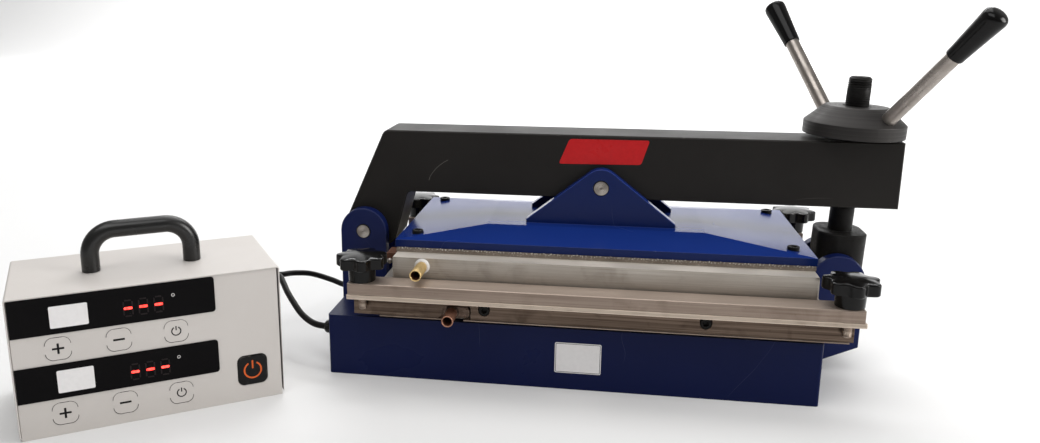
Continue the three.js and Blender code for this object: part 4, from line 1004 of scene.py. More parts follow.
def plate(name: str, outline: Sequence[Flat], thickness: float, place: Matrix) -> bpy.types.Object:
    """Makes a thin plate.

    Args:
        name: Name of the piece.
        outline: Its outline in x and y.
        thickness: Its thickness in millimetres.
        place: Where its back lies.

    Returns:
        The piece.
    """
    draft = Draft()
    draft.prism(outline, 0.0, thickness, place)
    return draft.build(name)


def smooth(piece: bpy.types.Object, creased: bool = False) -> None:
    """Shades a piece smooth, with its hard edges kept and its flat faces flat.

    Args:
        piece: Piece to shade.
        creased: Whether shallow folds between its upper faces stay crisp too.
    """
    mesh = piece.data
    mesh.shade_smooth()
    mesh.set_sharp_from_angle(angle=SMOOTH_ANGLE)
    if creased:
        body = bmesh.new()
        body.from_mesh(mesh)
        for edge in body.edges:
            level = len(edge.link_faces) == 2 and all(face.normal.z > UPWARD for face in edge.link_faces)
            if level and edge.calc_face_angle() > CREASE_ANGLE:
                edge.smooth = False
        body.to_mesh(mesh)
        body.free()
    piece.modifiers.new("flat faces", "WEIGHTED_NORMAL").keep_sharp = True
    bake(piece)


def bake(piece: bpy.types.Object) -> None:
    """Replaces a piece's mesh by what its modifiers make of it.

    Args:
        piece: Piece to change.
    """
    made = bpy.data.meshes.new_from_object(piece.evaluated_get(bpy.context.evaluated_depsgraph_get()))
    piece.modifiers.clear()
    old = piece.data
    name = old.name
    piece.data = made
    bpy.data.meshes.remove(old)
    made.name = name


def round_edges(piece: bpy.types.Object, width: float, segments: int, offset: int = 1) -> None:
    """Rounds a piece's edges and marks the new faces with the rim attribute.

    Args:
        piece: Piece to change.
        width: Width in millimetres.
        segments: Faces across an edge.
        offset: Material number lent to the new faces while the modifier runs.
    """
    for _ in range(len(piece.data.materials), offset + 1):
        piece.data.materials.append(None)
    rounder = piece.modifiers.new("rounded edges", "BEVEL")
    rounder.width = width * MM
    rounder.segments = segments
    rounder.limit_method = "ANGLE"
    rounder.angle_limit = BEVEL_ANGLE
    rounder.miter_outer = "MITER_ARC"
    rounder.use_clamp_overlap = True
    rounder.material = offset
    bake(piece)
    mesh = piece.data
    numbers = [0] * len(mesh.polygons)
    mesh.polygons.foreach_get("material_index", numbers)
    rim = mesh.attributes.new(RIM, "FLOAT", "FACE")
    rim.data.foreach_set("value", [1.0 if n >= offset else 0.0 for n in numbers])
    mesh.polygons.foreach_set("material_index", [0 if n >= offset else n for n in numbers])


def copy_of(node: str, name: str, width: float, segments: int = 3, creased: bool = False) -> bpy.types.Object:
    """A CAD node's shape as a new piece with rounded edges.

    Args:
        node: Node to copy.
        name: Name of the piece.
        width: Width of the rounded edges in millimetres.
        segments: Faces across an edge.
        creased: Whether shallow folds between its upper faces stay crisp.

    Returns:
        The piece.
    """
    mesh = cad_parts[node].data.copy()
    mesh.name = name
    mesh.materials.clear()
    body = bmesh.new()
    body.from_mesh(mesh)
    bmesh.ops.remove_doubles(body, verts=body.verts, dist=2e-6)
    bmesh.ops.dissolve_limit(body, angle_limit=FLAT_ANGLE, verts=body.verts, edges=body.edges)
    body.to_mesh(mesh)
    body.free()
    piece = add_to_scene(name, mesh)
    round_edges(piece, width, segments)
    smooth(piece, creased)
    return piece


def deliver(
    piece: bpy.types.Object, body: Body | str, finishes: Sequence[Finish] | Finish, *nodes: str
) -> bpy.types.Object:
    """Gives a piece its finish and its body, and hides the nodes it stands for.

    Args:
        piece: Piece to hand over.
        body: Body it rides on.
        finishes: Its finish, or one for each mark.
        nodes: CAD nodes it stands for.

    Returns:
        The piece.
    """
    several = [finishes] if isinstance(finishes, Finish) else list(finishes)
    slots = piece.data.materials
    while len(slots) > len(several):
        slots.pop(index=len(slots) - 1)
    for number, finish in enumerate(several):
        if number < len(slots):
            slots[number] = finish.material()
        else:
            slots.append(finish.material())
    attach(piece, body.value if isinstance(body, Body) else body)
    if nodes:
        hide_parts(*nodes)
    log.info("%s on %s", piece.name, body)
    return piece


def dress_node(node: str, finish: Finish) -> None:
    """Gives a CAD node that stays in view its finish.

    Args:
        node: Name of the node.
        finish: Finish it takes.
    """
    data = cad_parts[node].data
    if not data.materials:
        data.materials.append(None)
    data.materials[0] = finish.material()


# ---------------------------------------------------------------- geometry nodes


class Maker:
    """A Geometry Nodes tree with named inputs, run once on a mesh of points."""

    def __init__(self, name: str, **inputs: str) -> None:
        """Makes the tree and its sockets.

        Args:
            name: Name of the tree.
            inputs: Kind of each input beside the points and the finish.
        """
        self.tree = bpy.data.node_groups.new(name, "GeometryNodeTree")
        for label, kind in {"Points": "Geometry", **inputs, "Finish": "Material"}.items():
            self.tree.interface.new_socket(label, in_out="INPUT", socket_type="NodeSocket" + kind)
        self.tree.interface.new_socket("Made", in_out="OUTPUT", socket_type="NodeSocketGeometry")
        self.wiring = Wiring(self.tree)
        self.given = self.wiring.add("NodeGroupInput").outputs

    def close(self, pattern: bpy.types.NodeSocket, rotation: bpy.types.NodeSocket) -> None:
        """Ends the tree in real geometry: the pattern at every point, with its material.

        Args:
            pattern: What stands at each point.
            rotation: How each one is turned.
        """
        w = self.wiring
        ports = {"Points": self.given["Points"], "Instance": pattern, "Rotation": rotation}
        placed = w.add("GeometryNodeInstanceOnPoints", ports).outputs[0]
        real = w.add("GeometryNodeRealizeInstances", {"Geometry": placed}).outputs[0]
        ports = {"Geometry": real, "Material": self.given["Finish"]}
        w.add("NodeGroupOutput", {0: w.add("GeometryNodeSetMaterial", ports).outputs[0]})

    def run(
        self,
        name: str,
        finish: Finish,
        points: Sequence[Point],
        directions: Sequence[Point] = (),
        **values: object,
    ) -> bpy.types.Object:
        """Runs the tree and keeps its result as a plain mesh.

        Args:
            name: Name of the piece.
            finish: Its finish.
            points: Places in millimetres.
            directions: Way that each place faces.
            values: Other inputs by name.

        Returns:
            The piece.
        """
        values["Finish"] = finish.material()
        mesh = bpy.data.meshes.new(name + "_points")
        mesh.from_pydata([Vector(p) * MM for p in points], [], [])
        if directions:
            facing = mesh.attributes.new("facing", "FLOAT_VECTOR", "POINT")
            facing.data.foreach_set("vector", [c for d in directions for c in d])
        piece = add_to_scene(name, mesh)
        modifier = piece.modifiers.new("maker", "NODES")
        modifier.node_group = self.tree
        for item in self.tree.interface.items_tree:
            if item.in_out == "INPUT" and item.name in values:
                modifier[item.identifier] = values[item.name]
        bake(piece)
        piece.data.name = name
        return piece


class ThreadMaker(Maker):
    """Screw threads: a spiral with a three-sided section at every point."""

    def __init__(self) -> None:
        """Builds the tree."""
        super().__init__("screw threads", Radius="Float", Pitch="Float", Turns="Float", Steps="Int", Lean="Vector")
        w, given = self.wiring, self.given
        ports = {
            "Resolution": given["Steps"],
            "Rotations": given["Turns"],
            "Start Radius": given["Radius"],
            "End Radius": given["Radius"],
            "Height": w.times(given["Pitch"], given["Turns"]),
        }
        path = w.add("GeometryNodeCurveSpiral", ports).outputs[0]
        ports = {"Resolution": 3, "Radius": w.times(given["Pitch"], 0.54)}
        section = w.add("GeometryNodeCurvePrimitiveCircle", ports).outputs[0]
        ports = {"Curve": path, "Profile Curve": section, "Fill Caps": True}
        self.close(w.add("GeometryNodeCurveToMesh", ports).outputs[0], given["Lean"])


class PatternMaker(Maker):
    """A pattern object that stands at points and faces along them, each turned its own way."""

    def __init__(self) -> None:
        """Builds the tree."""
        super().__init__("turned patterns", Head="Object", Seed="Int")
        w, given = self.wiring, self.given
        head = w.add("GeometryNodeObjectInfo", {"Object": given["Head"]}).outputs["Geometry"]
        facing = w.add("GeometryNodeInputNamedAttribute", {"Name": "facing"}, data_type="FLOAT_VECTOR").outputs[0]
        aligned = w.add("FunctionNodeAlignRotationToVector", {"Vector": facing}, axis="Z").outputs[0]
        ports = {2: 0.0, 3: math.tau, "Seed": given["Seed"]}
        spin = w.add("FunctionNodeRandomValue", ports, data_type="FLOAT").outputs[1]
        about = w.add("FunctionNodeAxisAngleToRotation", {"Axis": (0.0, 0.0, 1.0), "Angle": spin}).outputs[0]
        ports = {"Rotation": aligned, "Rotate By": about}
        self.close(head, w.add("FunctionNodeRotateRotation", ports, rotation_space="LOCAL").outputs[0])


class ArcMaker(Maker):
    """Flat printed corner arcs: four quarter strokes round each point."""

    def __init__(self) -> None:
        """Builds the tree."""
        sizes = dict.fromkeys(("Width", "Height", "Corner", "Stroke"), "Float")
        super().__init__("key corner marks", **sizes, Turn="Vector")
        w, given = self.wiring, self.given
        ports = {"Resolution": 12, "Radius": given["Corner"], "Start Angle": 0.0, "Sweep Angle": QUARTER}
        quarter = w.add("GeometryNodeCurveArc", ports, mode="RADIUS").outputs[0]
        halves = (w.times(given[name], 0.5) for name in ("Width", "Height"))
        wide, tall = (w.math("SUBTRACT", half, given["Corner"]) for half in halves)
        joined = w.add("GeometryNodeJoinGeometry")
        for number, (sx, sy) in enumerate([(1.0, 1.0), (-1.0, 1.0), (-1.0, -1.0), (1.0, -1.0)]):
            shift = w.add("ShaderNodeCombineXYZ", {"X": w.times(wide, sx), "Y": w.times(tall, sy)}).outputs[0]
            ports = {"Geometry": quarter, "Translation": shift, "Rotation": (0.0, 0.0, number * math.pi / 2)}
            w.join(w.add("GeometryNodeTransform", ports).outputs[0], joined.inputs[0])
        ports = {"Resolution": 4, "Radius": w.times(given["Stroke"], 0.707)}
        section = w.add("GeometryNodeCurvePrimitiveCircle", ports).outputs[0]
        ports = {"Geometry": section, "Rotation": (0.0, 0.0, math.radians(45)), "Scale": (0.3, 1.0, 1.0)}
        flat = w.add("GeometryNodeTransform", ports).outputs[0]
        ports = {"Curve": joined.outputs[0], "Profile Curve": flat, "Fill Caps": True}
        self.close(w.add("GeometryNodeCurveToMesh", ports).outputs[0], given["Turn"])


@dataclass
class SocketScrews:
    """Socket cap screws of one size, each turned its own way."""

    radius: float
    socket: float
    depth: float
    seed: int
    head: float = 5.0
    edge: float = 0.45
    sides: int = 36

    def pattern(self) -> bpy.types.Object:
        """Head about the origin, its top at zero and its hexagon socket open upwards.

        Returns:
            A pattern object, to be removed after use.
        """
        angles = fractions_of_turn(self.sides)
        radius, edge, socket = self.radius, self.edge, self.socket
        rows = [(radius, -self.head), (radius, -edge), (radius - edge * 0.3, -edge * 0.3), (radius - edge, 0.0)]
        rows.append((socket + 0.5, 0.0))
        rings = [[Vector((r * math.cos(a), r * math.sin(a), z)) for a in angles] for r, z in rows]
        for inward, z in ((1.0, -0.35), (0.98, -self.depth)):
            ring = []
            for angle in angles:
                reach = socket * math.cos(math.pi / 6) / math.cos((angle % (math.pi / 3)) - math.pi / 6)
                ring.append(Vector((reach * inward * math.cos(angle), reach * inward * math.sin(angle), z)))
            rings.append(ring)
        draft = Draft()
        draft.loft(rings)
        return draft.build("screw_pattern")

    def build(
        self, maker: PatternMaker, name: str, body: Body, places: Sequence[Point], ways: Sequence[Point],
        nodes: Sequence[str],
    ) -> None:
        """Builds the heads and hands them over.

        Args:
            maker: Maker that sets the pattern at points.
            name: Name of the piece.
            body: Body it rides on.
            places: Place of the top of each head.
            ways: Way that each head faces.
            nodes: CAD nodes it stands for.
        """
        pattern = self.pattern()
        piece = maker.run(name, OXIDE, places, ways, Head=pattern, Seed=self.seed)
        smooth(piece)
        deliver(piece, body, OXIDE, *nodes)
        bpy.data.objects.remove(pattern)


# ---------------------------------------------------------------- cables and studio


@dataclass
class Cable:
    """One black cable that hangs free between the press and the box."""

    name: str
    route: Sequence[Point]
    diameter: float = 6.5
    spans: int = 10

    def line(self) -> list[Vector]:
        """Smooth line through the route, in metres.

        Returns:
            The points.
        """
        points = [Vector(p) * MM for p in self.route]
        ends = [2 * points[0] - points[1], *points, 2 * points[-1] - points[-2]]
        line = [points[0]]
        for p0, p1, p2, p3 in zip(ends, ends[1:], ends[2:], ends[3:]):
            d0, d1, d2 = ((b - a).length ** 0.5 for a, b in ((p0, p1), (p1, p2), (p2, p3)))
            first = ((p1 - p0) / d0 - (p2 - p0) / (d0 + d1) + (p2 - p1) / d1) * d1
            last = ((p2 - p1) / d1 - (p3 - p1) / (d1 + d2) + (p3 - p2) / d2) * d1
            for step in range(1, self.spans + 1):
                t = step / self.spans
                start = p1 * (2 * t**3 - 3 * t**2 + 1) + first * (t**3 - 2 * t**2 + t)
                line.append(start + p2 * (3 * t**2 - 2 * t**3) + last * (t**3 - t**2))
        return line

    def build(self) -> None:
        points = self.line()
        curve = bpy.data.curves.new(self.name + "_jacket", "CURVE")
        curve.dimensions = "3D"
        curve.bevel_depth = self.diameter / 2 * MM
        curve.bevel_resolution = 5
        curve.use_fill_caps = True
        spline = curve.splines.new("POLY")
        spline.points.add(len(points) - 1)
        spline.points.foreach_set("co", [c for p in points for c in (*p, 1.0)])
        spline.use_smooth = True
        piece = deliver(add_to_scene(self.name + "_jacket", curve), Body.BASE, RUBBER, self.name)


FRONT_CABLE = Cable("front_cable", (
    (-234.1, -103, 42), (-238, -103, 42), (-242, -103, 42), (-250.5, -100.6, 42), (-261, -94, 42.8),
    (-273.6, -84, 46.5), (-286.9, -70, 53), (-298.6, -56, 58.9), (-308.1, -42, 63.4), (-317, -29, 66),
    (-330, -22, 68), (-348, -24, 70), (-362, -37, 71), (-369, -54, 70.6), (-368.6, -68, 70), (-364.5, -77, 70),
    (-358.1, -86.5, 70), (-356.1, -89.45, 70), (-354.1, -92.4, 70),
))
REAR_CABLE = Cable("rear_cable", (
    (-234.1, 50, 30), (-238, 50, 30), (-242, 50, 30), (-256, 50, 31), (-271.4, 50, 33.7), (-281.9, 50, 37.5),
    (-292.2, 49, 41), (-301.6, 46, 44.7), (-310, 40, 48.3), (-317.6, 32, 50.9), (-324.2, 22, 53.3),
    (-328.5, 10, 55.6), (-335, -2, 58.5), (-347, -14, 62), (-364, -24, 65.5), (-382, -36, 68.4), (-395, -51, 69.8),
    (-401, -68, 70), (-399.7, -85, 70), (-393.5, -96.5, 70), (-387.1, -106, 70), (-385.1, -108.95, 70),
    (-383.1, -111.9, 70),
))


@dataclass
class Lamp:
    """One soft rectangular light, in metres and watts."""

    name: str
    place: Point
    aim: Point
    size: Flat
    power: float
    tint: Colour = (1.0, 1.0, 1.0)

    def build(self) -> None:
        """Hangs the light, turned to its aim."""
        data = bpy.data.lights.new(self.name, "AREA")
        data.shape = "RECTANGLE"
        data.size, data.size_y = self.size
        data.energy = self.power
        data.color = self.tint
        light = add_to_scene(self.name, data)
        way = Vector(self.aim) - Vector(self.place)
        light.matrix_world = Matrix.Translation(self.place) @ way.to_track_quat("-Z", "Y").to_matrix().to_4x4()
        light.visible_camera = False


@dataclass
class Studio:
    """Camera of the photograph, pale floor and soft light."""

    place: Point = (31.02, -884.22, 362.47)
    yaw: float = 9.09
    pitch: float = -13.22
    roll: float = -0.12
    focal: float = 858.66
    centre: Flat = (469.94, 201.59)
    floor_colour: Colour = (0.8, 0.8, 0.8)
    floor_half: float = 9.0
    floor_front: float = -7.0
    floor_foot: float = 4.2
    floor_bend: float = 2.2
    floor_top: float = 5.0
    room_light: Flat = (0.2, 0.5)
    room_tint: Colour = (1.0, 0.99, 0.975)
    lamps: tuple[Lamp, ...] = (
        Lamp("right window", (2.4, -0.5, 1.0), (0.0, 0.0, 0.1), (1.2, 1.2), 40.0, (1.0, 0.99, 0.97)),
        Lamp("ceiling", (0.1, 0.6, 2.3), (0.0, 0.1, 0.0), (2.0, 1.2), 18.0),
        Lamp("backdrop wash", (0.0, 3.4, 3.6), (0.0, 5.2, 0.4), (5.0, 0.8), 360.0),
        Lamp("front top", (-0.3, -1.2, 2.3), (0.0, -0.1, 0.1), (2.4, 1.2), 24.0),
    )

    def camera(self) -> None:
        """Sets the camera where the photograph was taken from."""
        data = bpy.data.cameras.new("photo camera")
        data.sensor_width = SENSOR_WIDTH
        data.lens = self.focal * SENSOR_WIDTH / IMAGE_WIDTH
        data.shift_x = (IMAGE_WIDTH / 2 - self.centre[0]) / IMAGE_WIDTH
        data.shift_y = (self.centre[1] - IMAGE_HEIGHT / 2) / IMAGE_WIDTH
        data.clip_start = 0.05
        data.clip_end = 60.0
        eye = add_to_scene("photo camera", data)
        turn = Matrix.Identity(4)
        for degrees, axis in ((self.yaw, "Z"), (self.pitch, "X"), (self.roll, "Y"), (90, "X")):
            turn = turn @ Matrix.Rotation(math.radians(degrees), 4, axis)
        eye.matrix_world = Matrix.Translation(Vector(self.place) * MM) @ turn
        bpy.context.scene.camera = eye

    def floor(self) -> None:
        """Lays the plain pale floor, which curves up into the backdrop."""
        foot, radius = self.floor_foot, self.floor_bend
        line = [(self.floor_front, 0.0), (foot, 0.0)]
        line += [(foot + y, radius + z) for y, z in arc(0.0, 0.0, radius, -90, 0, 16)[1:]]
        line.append((foot + radius, self.floor_top))
        mesh = bpy.data.meshes.new("studio floor")
        points = [(x, y, z) for y, z in line for x in (-self.floor_half, self.floor_half)]
        faces = [(2 * i, 2 * i + 1, 2 * i + 3, 2 * i + 2) for i in range(len(line) - 1)]
        mesh.from_pydata(points, [], faces)
        mesh.shade_smooth()
        ground = add_to_scene("studio floor", mesh)
        material = bpy.data.materials.new("studio floor")
        material.use_nodes = True
        shader = material.node_tree.nodes["Principled BSDF"]
        shader.inputs["Base Color"].default_value = (*self.floor_colour, 1.0)
        shader.inputs["Roughness"].default_value = 0.9
        shader.inputs["Specular IOR Level"].default_value = 0.1
        mesh.materials.append(material)

    def sky(self) -> None:
        """Fills the room with soft light, dim in front and brighter behind."""
        world = bpy.data.worlds.new("studio room")
        world.use_nodes = True
        bpy.context.scene.world = world
        world.node_tree.nodes.clear()
        w = Wiring(world.node_tree)
        way = w.add("ShaderNodeSeparateXYZ", {0: w.add("ShaderNodeTexCoord").outputs["Generated"]})
        strength = w.ramp(way.outputs["Y"], -0.6, 0.8, *self.room_light)
        glow = w.add("ShaderNodeBackground", {"Color": self.room_tint, "Strength": strength})
        w.add("ShaderNodeOutputWorld", {"Surface": glow.outputs[0]})

    def build(self) -> None:
        """Sets the camera, the floor and the lights."""
        self.camera()
        self.floor()
        self.sky()
        for lamp in self.lamps:
            lamp.build()
        bpy.context.scene.view_settings.view_transform = "Standard"


# ---------------------------------------------------------------- the press


@dataclass
class CrossPin:
    """Chamfered pin across the press, faced and with a drilled centre mark at each end."""

    node: str
    x: float
    z: float
    half: float
    radius: float
    finish: str
    colour: Shade = (178, 172, 166)
    tint: Shade = (104, 98, 93)
    ring_scale: float = 1500.0
    # Width of the painted shadow ring round the pin's end.
    edge: float = 0.45

    def build(self, body: Body) -> None:
        """Builds the pin and hands it over.

        Args:
            body: Body it rides on.
        """
        half, radius = self.half, self.radius
        end = [(0.0, half - 0.9), (0.5, half - 0.75), (1.1, half), (1.25, half), (radius - 0.9, half)]
        end += [(radius - 0.3, half - 0.3), (radius, half - 0.9)]
        profile = [(r, -h) for r, h in end] + end[::-1]
        # The pin's end takes a painted reflection and, over its outer edge, a painted shadow ring.
        finish = Turned(
            self.finish, Slot.STEEL, self.colour, 0.26, self.tint, centre=(self.x * MM, 0.0, self.z * MM),
            turn=(QUARTER, 0.0, 0.0), ring_scale=self.ring_scale, sheen=0.6, rim=(radius - self.edge) * MM,
        )
        pin = turned_piece(self.node + "_turned", profile, 56, facing_front(self.x, 0, self.z))
        deliver(pin, body, finish, self.node)


@dataclass
class HoseTail:
    """Barbed hose tail with a wide bore, sealed at its root by thread tape or by braze."""

    x: float
    face: float
    z: float
    length: float
    brazed: bool = False
    outer: float = 5.6
    valley: float = 5.05
    bore: float = 4.45
    floor: float = 6.0
    sides: int = 40
    bead_sides: int = 48

    def barbs(self) -> list[Flat]:
        """Outline of the tail's outside, from its root to its mouth.

        Returns:
            Radius and height pairs.
        """
        outer, valley, length = self.outer, self.valley, self.length
        profile = [(valley, 0.1), (valley, 5.0), (5.15, 5.2)]
        pitch = (length - 7.2) / 3
        for barb in range(3):
            start = 5.4 + barb * pitch
            profile += [(valley + 0.05, start), (outer - 0.2, start + 1.2), (outer - 0.1, start + 1.7)]
            profile.append((valley + 0.1, start + pitch - 0.3))
        profile += [(outer - 0.25, length - 1.4), (outer, length - 0.9), (outer, length - 0.3)]
        return [*profile, (outer - 0.25, length)]

    def bead(self, draft: Draft, place: Matrix) -> None:
        """Adds a rough bead of braze round the root.

        Args:
            draft: Draft that takes it.
            place: Where the tail stands.
        """
        root = self.valley - 0.2
        rings = []
        for radius, height in ((root, 0.2), (7.0, 0.2), (7.2, 4.6), (6.3, 6.6), (5.7, 8.6), (root, 9.2)):
            ring = []
            for angle in fractions_of_turn(self.bead_sides):
                lump = math.sin(3 * angle + height) + 0.7 * math.sin(7 * angle - 2 * height)
                lump += 0.5 * math.sin(13 * angle)
                out = radius + (0.2 * lump if radius > self.valley else 0.0)
                rise = height + (0.15 * lump if height > 1 else 0.0)
                ring.append(place @ Vector((out * math.cos(angle), out * math.sin(angle), rise)))
            rings.append(ring)
        draft.loft(rings, closed=True, mark=1)

    def build(self, name: str, side: Side) -> bpy.types.Object:
        """Builds the tail of one side, its seal marked 1 and a painted-shade sheet inside the bore marked 2.

        Args:
            name: Name of the piece.
            side: Side it points to.

        Returns:
            The tail.
        """
        length, bore, floor, root = self.length, self.bore, self.floor, self.valley - 0.2
        place = upright(self.x, side.value * self.face, self.z, (0.0, float(side.value), 0.0))
        draft = Draft()
        inner = [(bore + 0.25, length), (bore, length - 0.35), (bore, floor), (0.0, floor)]
        draft.lathe([*self.barbs(), *inner], self.sides, place)
        if self.brazed:
            self.bead(draft, place)
        else:
            tape = [(7.3, 0.1), (7.5, 0.6), (6.9, 1.2), (7.0, 1.9), (6.3, 2.6), (5.9, 3.3), (root, 3.4)]
            draft.lathe([(root, 0.1), *tape, (root, 0.1)], self.sides, place, mark=1)
        # A dark sheet inside the bore: painted shade of the bore.
        bore_shade_sheet = [(0.0, floor + 0.2), (bore - 0.05, floor + 0.2), (bore - 0.05, length - 1.6)]
        bore_shade_sheet += [(bore - 0.3, length - 1.6), (bore - 0.3, floor + 0.5), (0.0, floor + 0.5)]
        draft.lathe(bore_shade_sheet, self.sides, place, mark=2)
        return draft.build(name)


def cable_gland(name: str, place: Matrix, wall: float) -> bpy.types.Object:
    """Cable gland with a hexagon body and a ribbed dome nut.

    Args:
        name: Name of the piece.
        place: Where it stands, along its own +Z.
        wall: Thickness of the wall behind it.

    Returns:
        The gland.
    """
    bore, body, sides, rib_depth = 3.4, 8.2, 48, 0.28
    corners = [math.radians(60 * i) for i in range(6)]
    hexagon, ring = ([(r * math.cos(a), r * math.sin(a)) for a in corners] for r in (body, bore))
    draft = Draft()
    draft.stroke(hexagon, ring, 0.3, 3.6, place)
    rows = [
        (5.9, 3.6, 0.0), (6.3, 4.2, 0.0), (6.5, 4.4, 1.0), (6.5, 6.6, 1.0), (6.0, 7.4, 0.3), (5.0, 8.3, 0.0),
        (4.6, 8.7, 0.0), (bore, 8.8, 0.0), (bore, 3.6, 0.0),
    ]
    rings = []
    for radius, height, rib in rows:
        points = []
        for i, angle in enumerate(fractions_of_turn(sides)):
            reach = radius - (rib_depth * rib if i % 4 in (0, 1) else 0.0)
            points.append(place @ Vector((reach * math.cos(angle), reach * math.sin(angle), height)))
        rings.append(points)
    draft.loft(rings, closed=True)
    low, high = -wall - 3.8, -wall - 0.3
    draft.lathe([(bore, low), (9.0, low), (9.0, high), (bore, high), (bore, low)], 6, place)
    return draft.build(name, 0.25)


@dataclass
class Base:
    """Blue sheet base with its frame, lower platen and belt clamp rails."""

    length: float = 465.0
    depth: float = 240.0
    tie: Flat = (265.0, 96.0)
    rail_screws: Flat = (-77.1, 127.3)
    rail_screw_z: float = 75.4
    rail_face: float = 123.1
    platen_face: float = 115.0
    tail: HoseTail = field(
        default_factory=lambda: HoseTail(x=-108.3, face=115.0, z=71.5, length=31.5, brazed=True)
    )
    thread_z: float = 73.8
    thread_radius: float = 3.65
    thread_pitch: float = 1.25
    thread_turns: float = 9.0
    label: Spans = (-9.4, 34.2, 16.8, 47.3)
    lips: tuple[Flat, ...] = ((-179.0, -116.5), (-97.0, 252.0))
    lip_heights: Flat = (64.2, 65.4)
    pad: Spans = (-121.0, -91.2, 65.9, 77.4)

    def build(self, threads: ThreadMaker, patterns: PatternMaker) -> None:
        """Builds and dresses every piece of the base.

        Args:
            threads: Maker of the stud threads.
            patterns: Maker of the screw heads.
        """
        deliver(copy_of("base_housing", "base_shell", 1.1), Body.BASE, SHADED_BASE_BLUE, "base_housing")
        deliver(copy_of("lower_frame", "ear_frame", 0.5), Body.BASE, SHADED_EAR_BLUE, "lower_frame")
        for node, finish in (("bottom_cover", SHADED_BASE_BLUE), ("lower_insulation", BOARD), ("lower_heater", RESIN)):
            dress_node(node, finish)
        deliver(copy_of("lower_platen", "lower_platen_block", 0.6, 2), Body.BASE, PLATEN, "lower_platen")
        for side in Side:
            self.clamp_seat(side)
        places = [(x, side.value * self.rail_face, self.rail_screw_z) for side in Side for x in self.rail_screws]
        ways = [(0.0, float(side.value), 0.0) for side in Side for _ in self.rail_screws]
        nodes = [f"{side.word}_rail_screw_{hand}" for side in Side for hand in ("left", "right")]
        screws = SocketScrews(radius=5.0, socket=2.6, depth=2.6, seed=4)
        screws.build(patterns, "rail_screw_heads", Body.BASE, places, ways, nodes)
        self.stud_threads(threads)
        CrossPin("hinge_pin", *HINGE, half=40.1, radius=7.4, finish="faced hinge pin").build(Body.BASE)
        CrossPin("tie_pin", *self.tie, half=36.0, radius=8.0, finish="faced tie pin").build(Body.BASE)
        for side in Side:
            tail = self.tail.build(f"lower_tail_{side.word}", side)
            deliver(tail, Body.BASE, [COPPERY, BRAZE, PAINTED_BORE_SHADE], f"lower_hose_tail_{side.word}")
            self.weld_pad(side)
        for word, y, z in (("front", -103.0, 42.0), ("rear", 50.0, 30.0)):
            gland = cable_gland(f"base_gland_{word}", upright(-self.length / 2, y, z, (-1.0, 0.0, 0.0)), 2.0)
            deliver(gland, Body.BASE, PLASTIC, f"press_gland_{word}")
        self.plate_label()

    def clamp_seat(self, side: Side) -> None:
        """Rail and jaw of one side, with the thin lip under the rail.

        Args:
            side: Front or rear.
        """
        word = side.word
        deliver(copy_of(f"{word}_rail", f"{word}_rail_strip", 0.35, 2), Body.BASE, RAIL_STEEL, f"{word}_rail")
        deliver(copy_of(f"{word}_jaw", f"{word}_jaw_strip", 0.8), Body.BASE, LIT_JAW_STEEL, f"{word}_jaw")
        near, far = sorted((side.value * (self.platen_face - 1.0), side.value * (self.rail_face + 0.9)))
        draft = Draft()
        for left, right in self.lips:
            sheet = [(left, near), (right, near), (right, far), (left, far)]
            draft.prism(sheet, *self.lip_heights, Matrix.Identity(4))
        deliver(draft.build(f"{word}_rail_lip", 0.25), Body.BASE, STEEL)

    def stud_threads(self, threads: ThreadMaker) -> None:
        """Threads of the four clamp studs below the jaws.

        Args:
            threads: Maker of the threads.
        """
        places = [(x, side.value * STUD_Y, self.thread_z) for side in Side for x in STUD_XS]
        sizes = {"Radius": self.thread_radius * MM, "Pitch": self.thread_pitch * MM, "Turns": self.thread_turns}
        piece = threads.run("stud_threads", STEEL, places, **sizes, Steps=24)
        smooth(piece)
        deliver(piece, Body.BASE, STEEL)

    def weld_pad(self, side: Side) -> None:
        """Lumpy pad of weld that fills the rail's notch round the lower tail.

        Args:
            side: Front or rear.
        """
        left, right, low, high = self.pad
        outline = rounded(right - left, high - low, 3.5, 8)
        middle = Vector(((left + right) / 2, 0.0, (low + high) / 2))
        rings = []
        for shrink, height in ((0.0, 0.1), (0.0, 5.2), (0.5, 6.0), (2.2, 6.3), (3.4, 5.9)):
            ring = []
            for index, (x, z) in enumerate(outline):
                lump = math.sin(index * 1.3 + height) + 0.6 * math.sin(index * 3.1) + 0.5 * math.sin(index * 0.7)
                give = 1.0 - (shrink + 0.22 * lump) / math.hypot(x, z)
                rise = height + (0.25 * lump if height > 1 else 0.0)
                ring.append(middle + Vector((x * give, side.value * (self.platen_face + rise), z * give)))
            rings.append(ring if side is Side.REAR else ring[::-1])
        draft = Draft()
        draft.loft(rings)
        deliver(draft.build(f"{side.word}_weld_pad"), Body.BASE, BRAZE)

    def plate_label(self) -> None:
        """Bare white plate on the front wall, inside a thin dark line."""
        left, right, low, high = self.label
        wide, tall, thickness = right - left, high - low, 0.25
        stand = facing_front((left + right) / 2, -self.depth / 2, (low + high) / 2)
        outer, inner = rounded(wide - 1.6, tall - 1.6, 1.1), rounded(wide - 2.5, tall - 2.5, 0.8)
        draft = Draft()
        draft.prism(rounded(wide, tall, 1.6), 0.0, thickness, stand)
        draft.stroke(outer, inner, thickness, thickness + 0.05, stand, 1)
        deliver(draft.build("base_label"), Body.BASE, [WHITE_LABEL, DARK_INK])


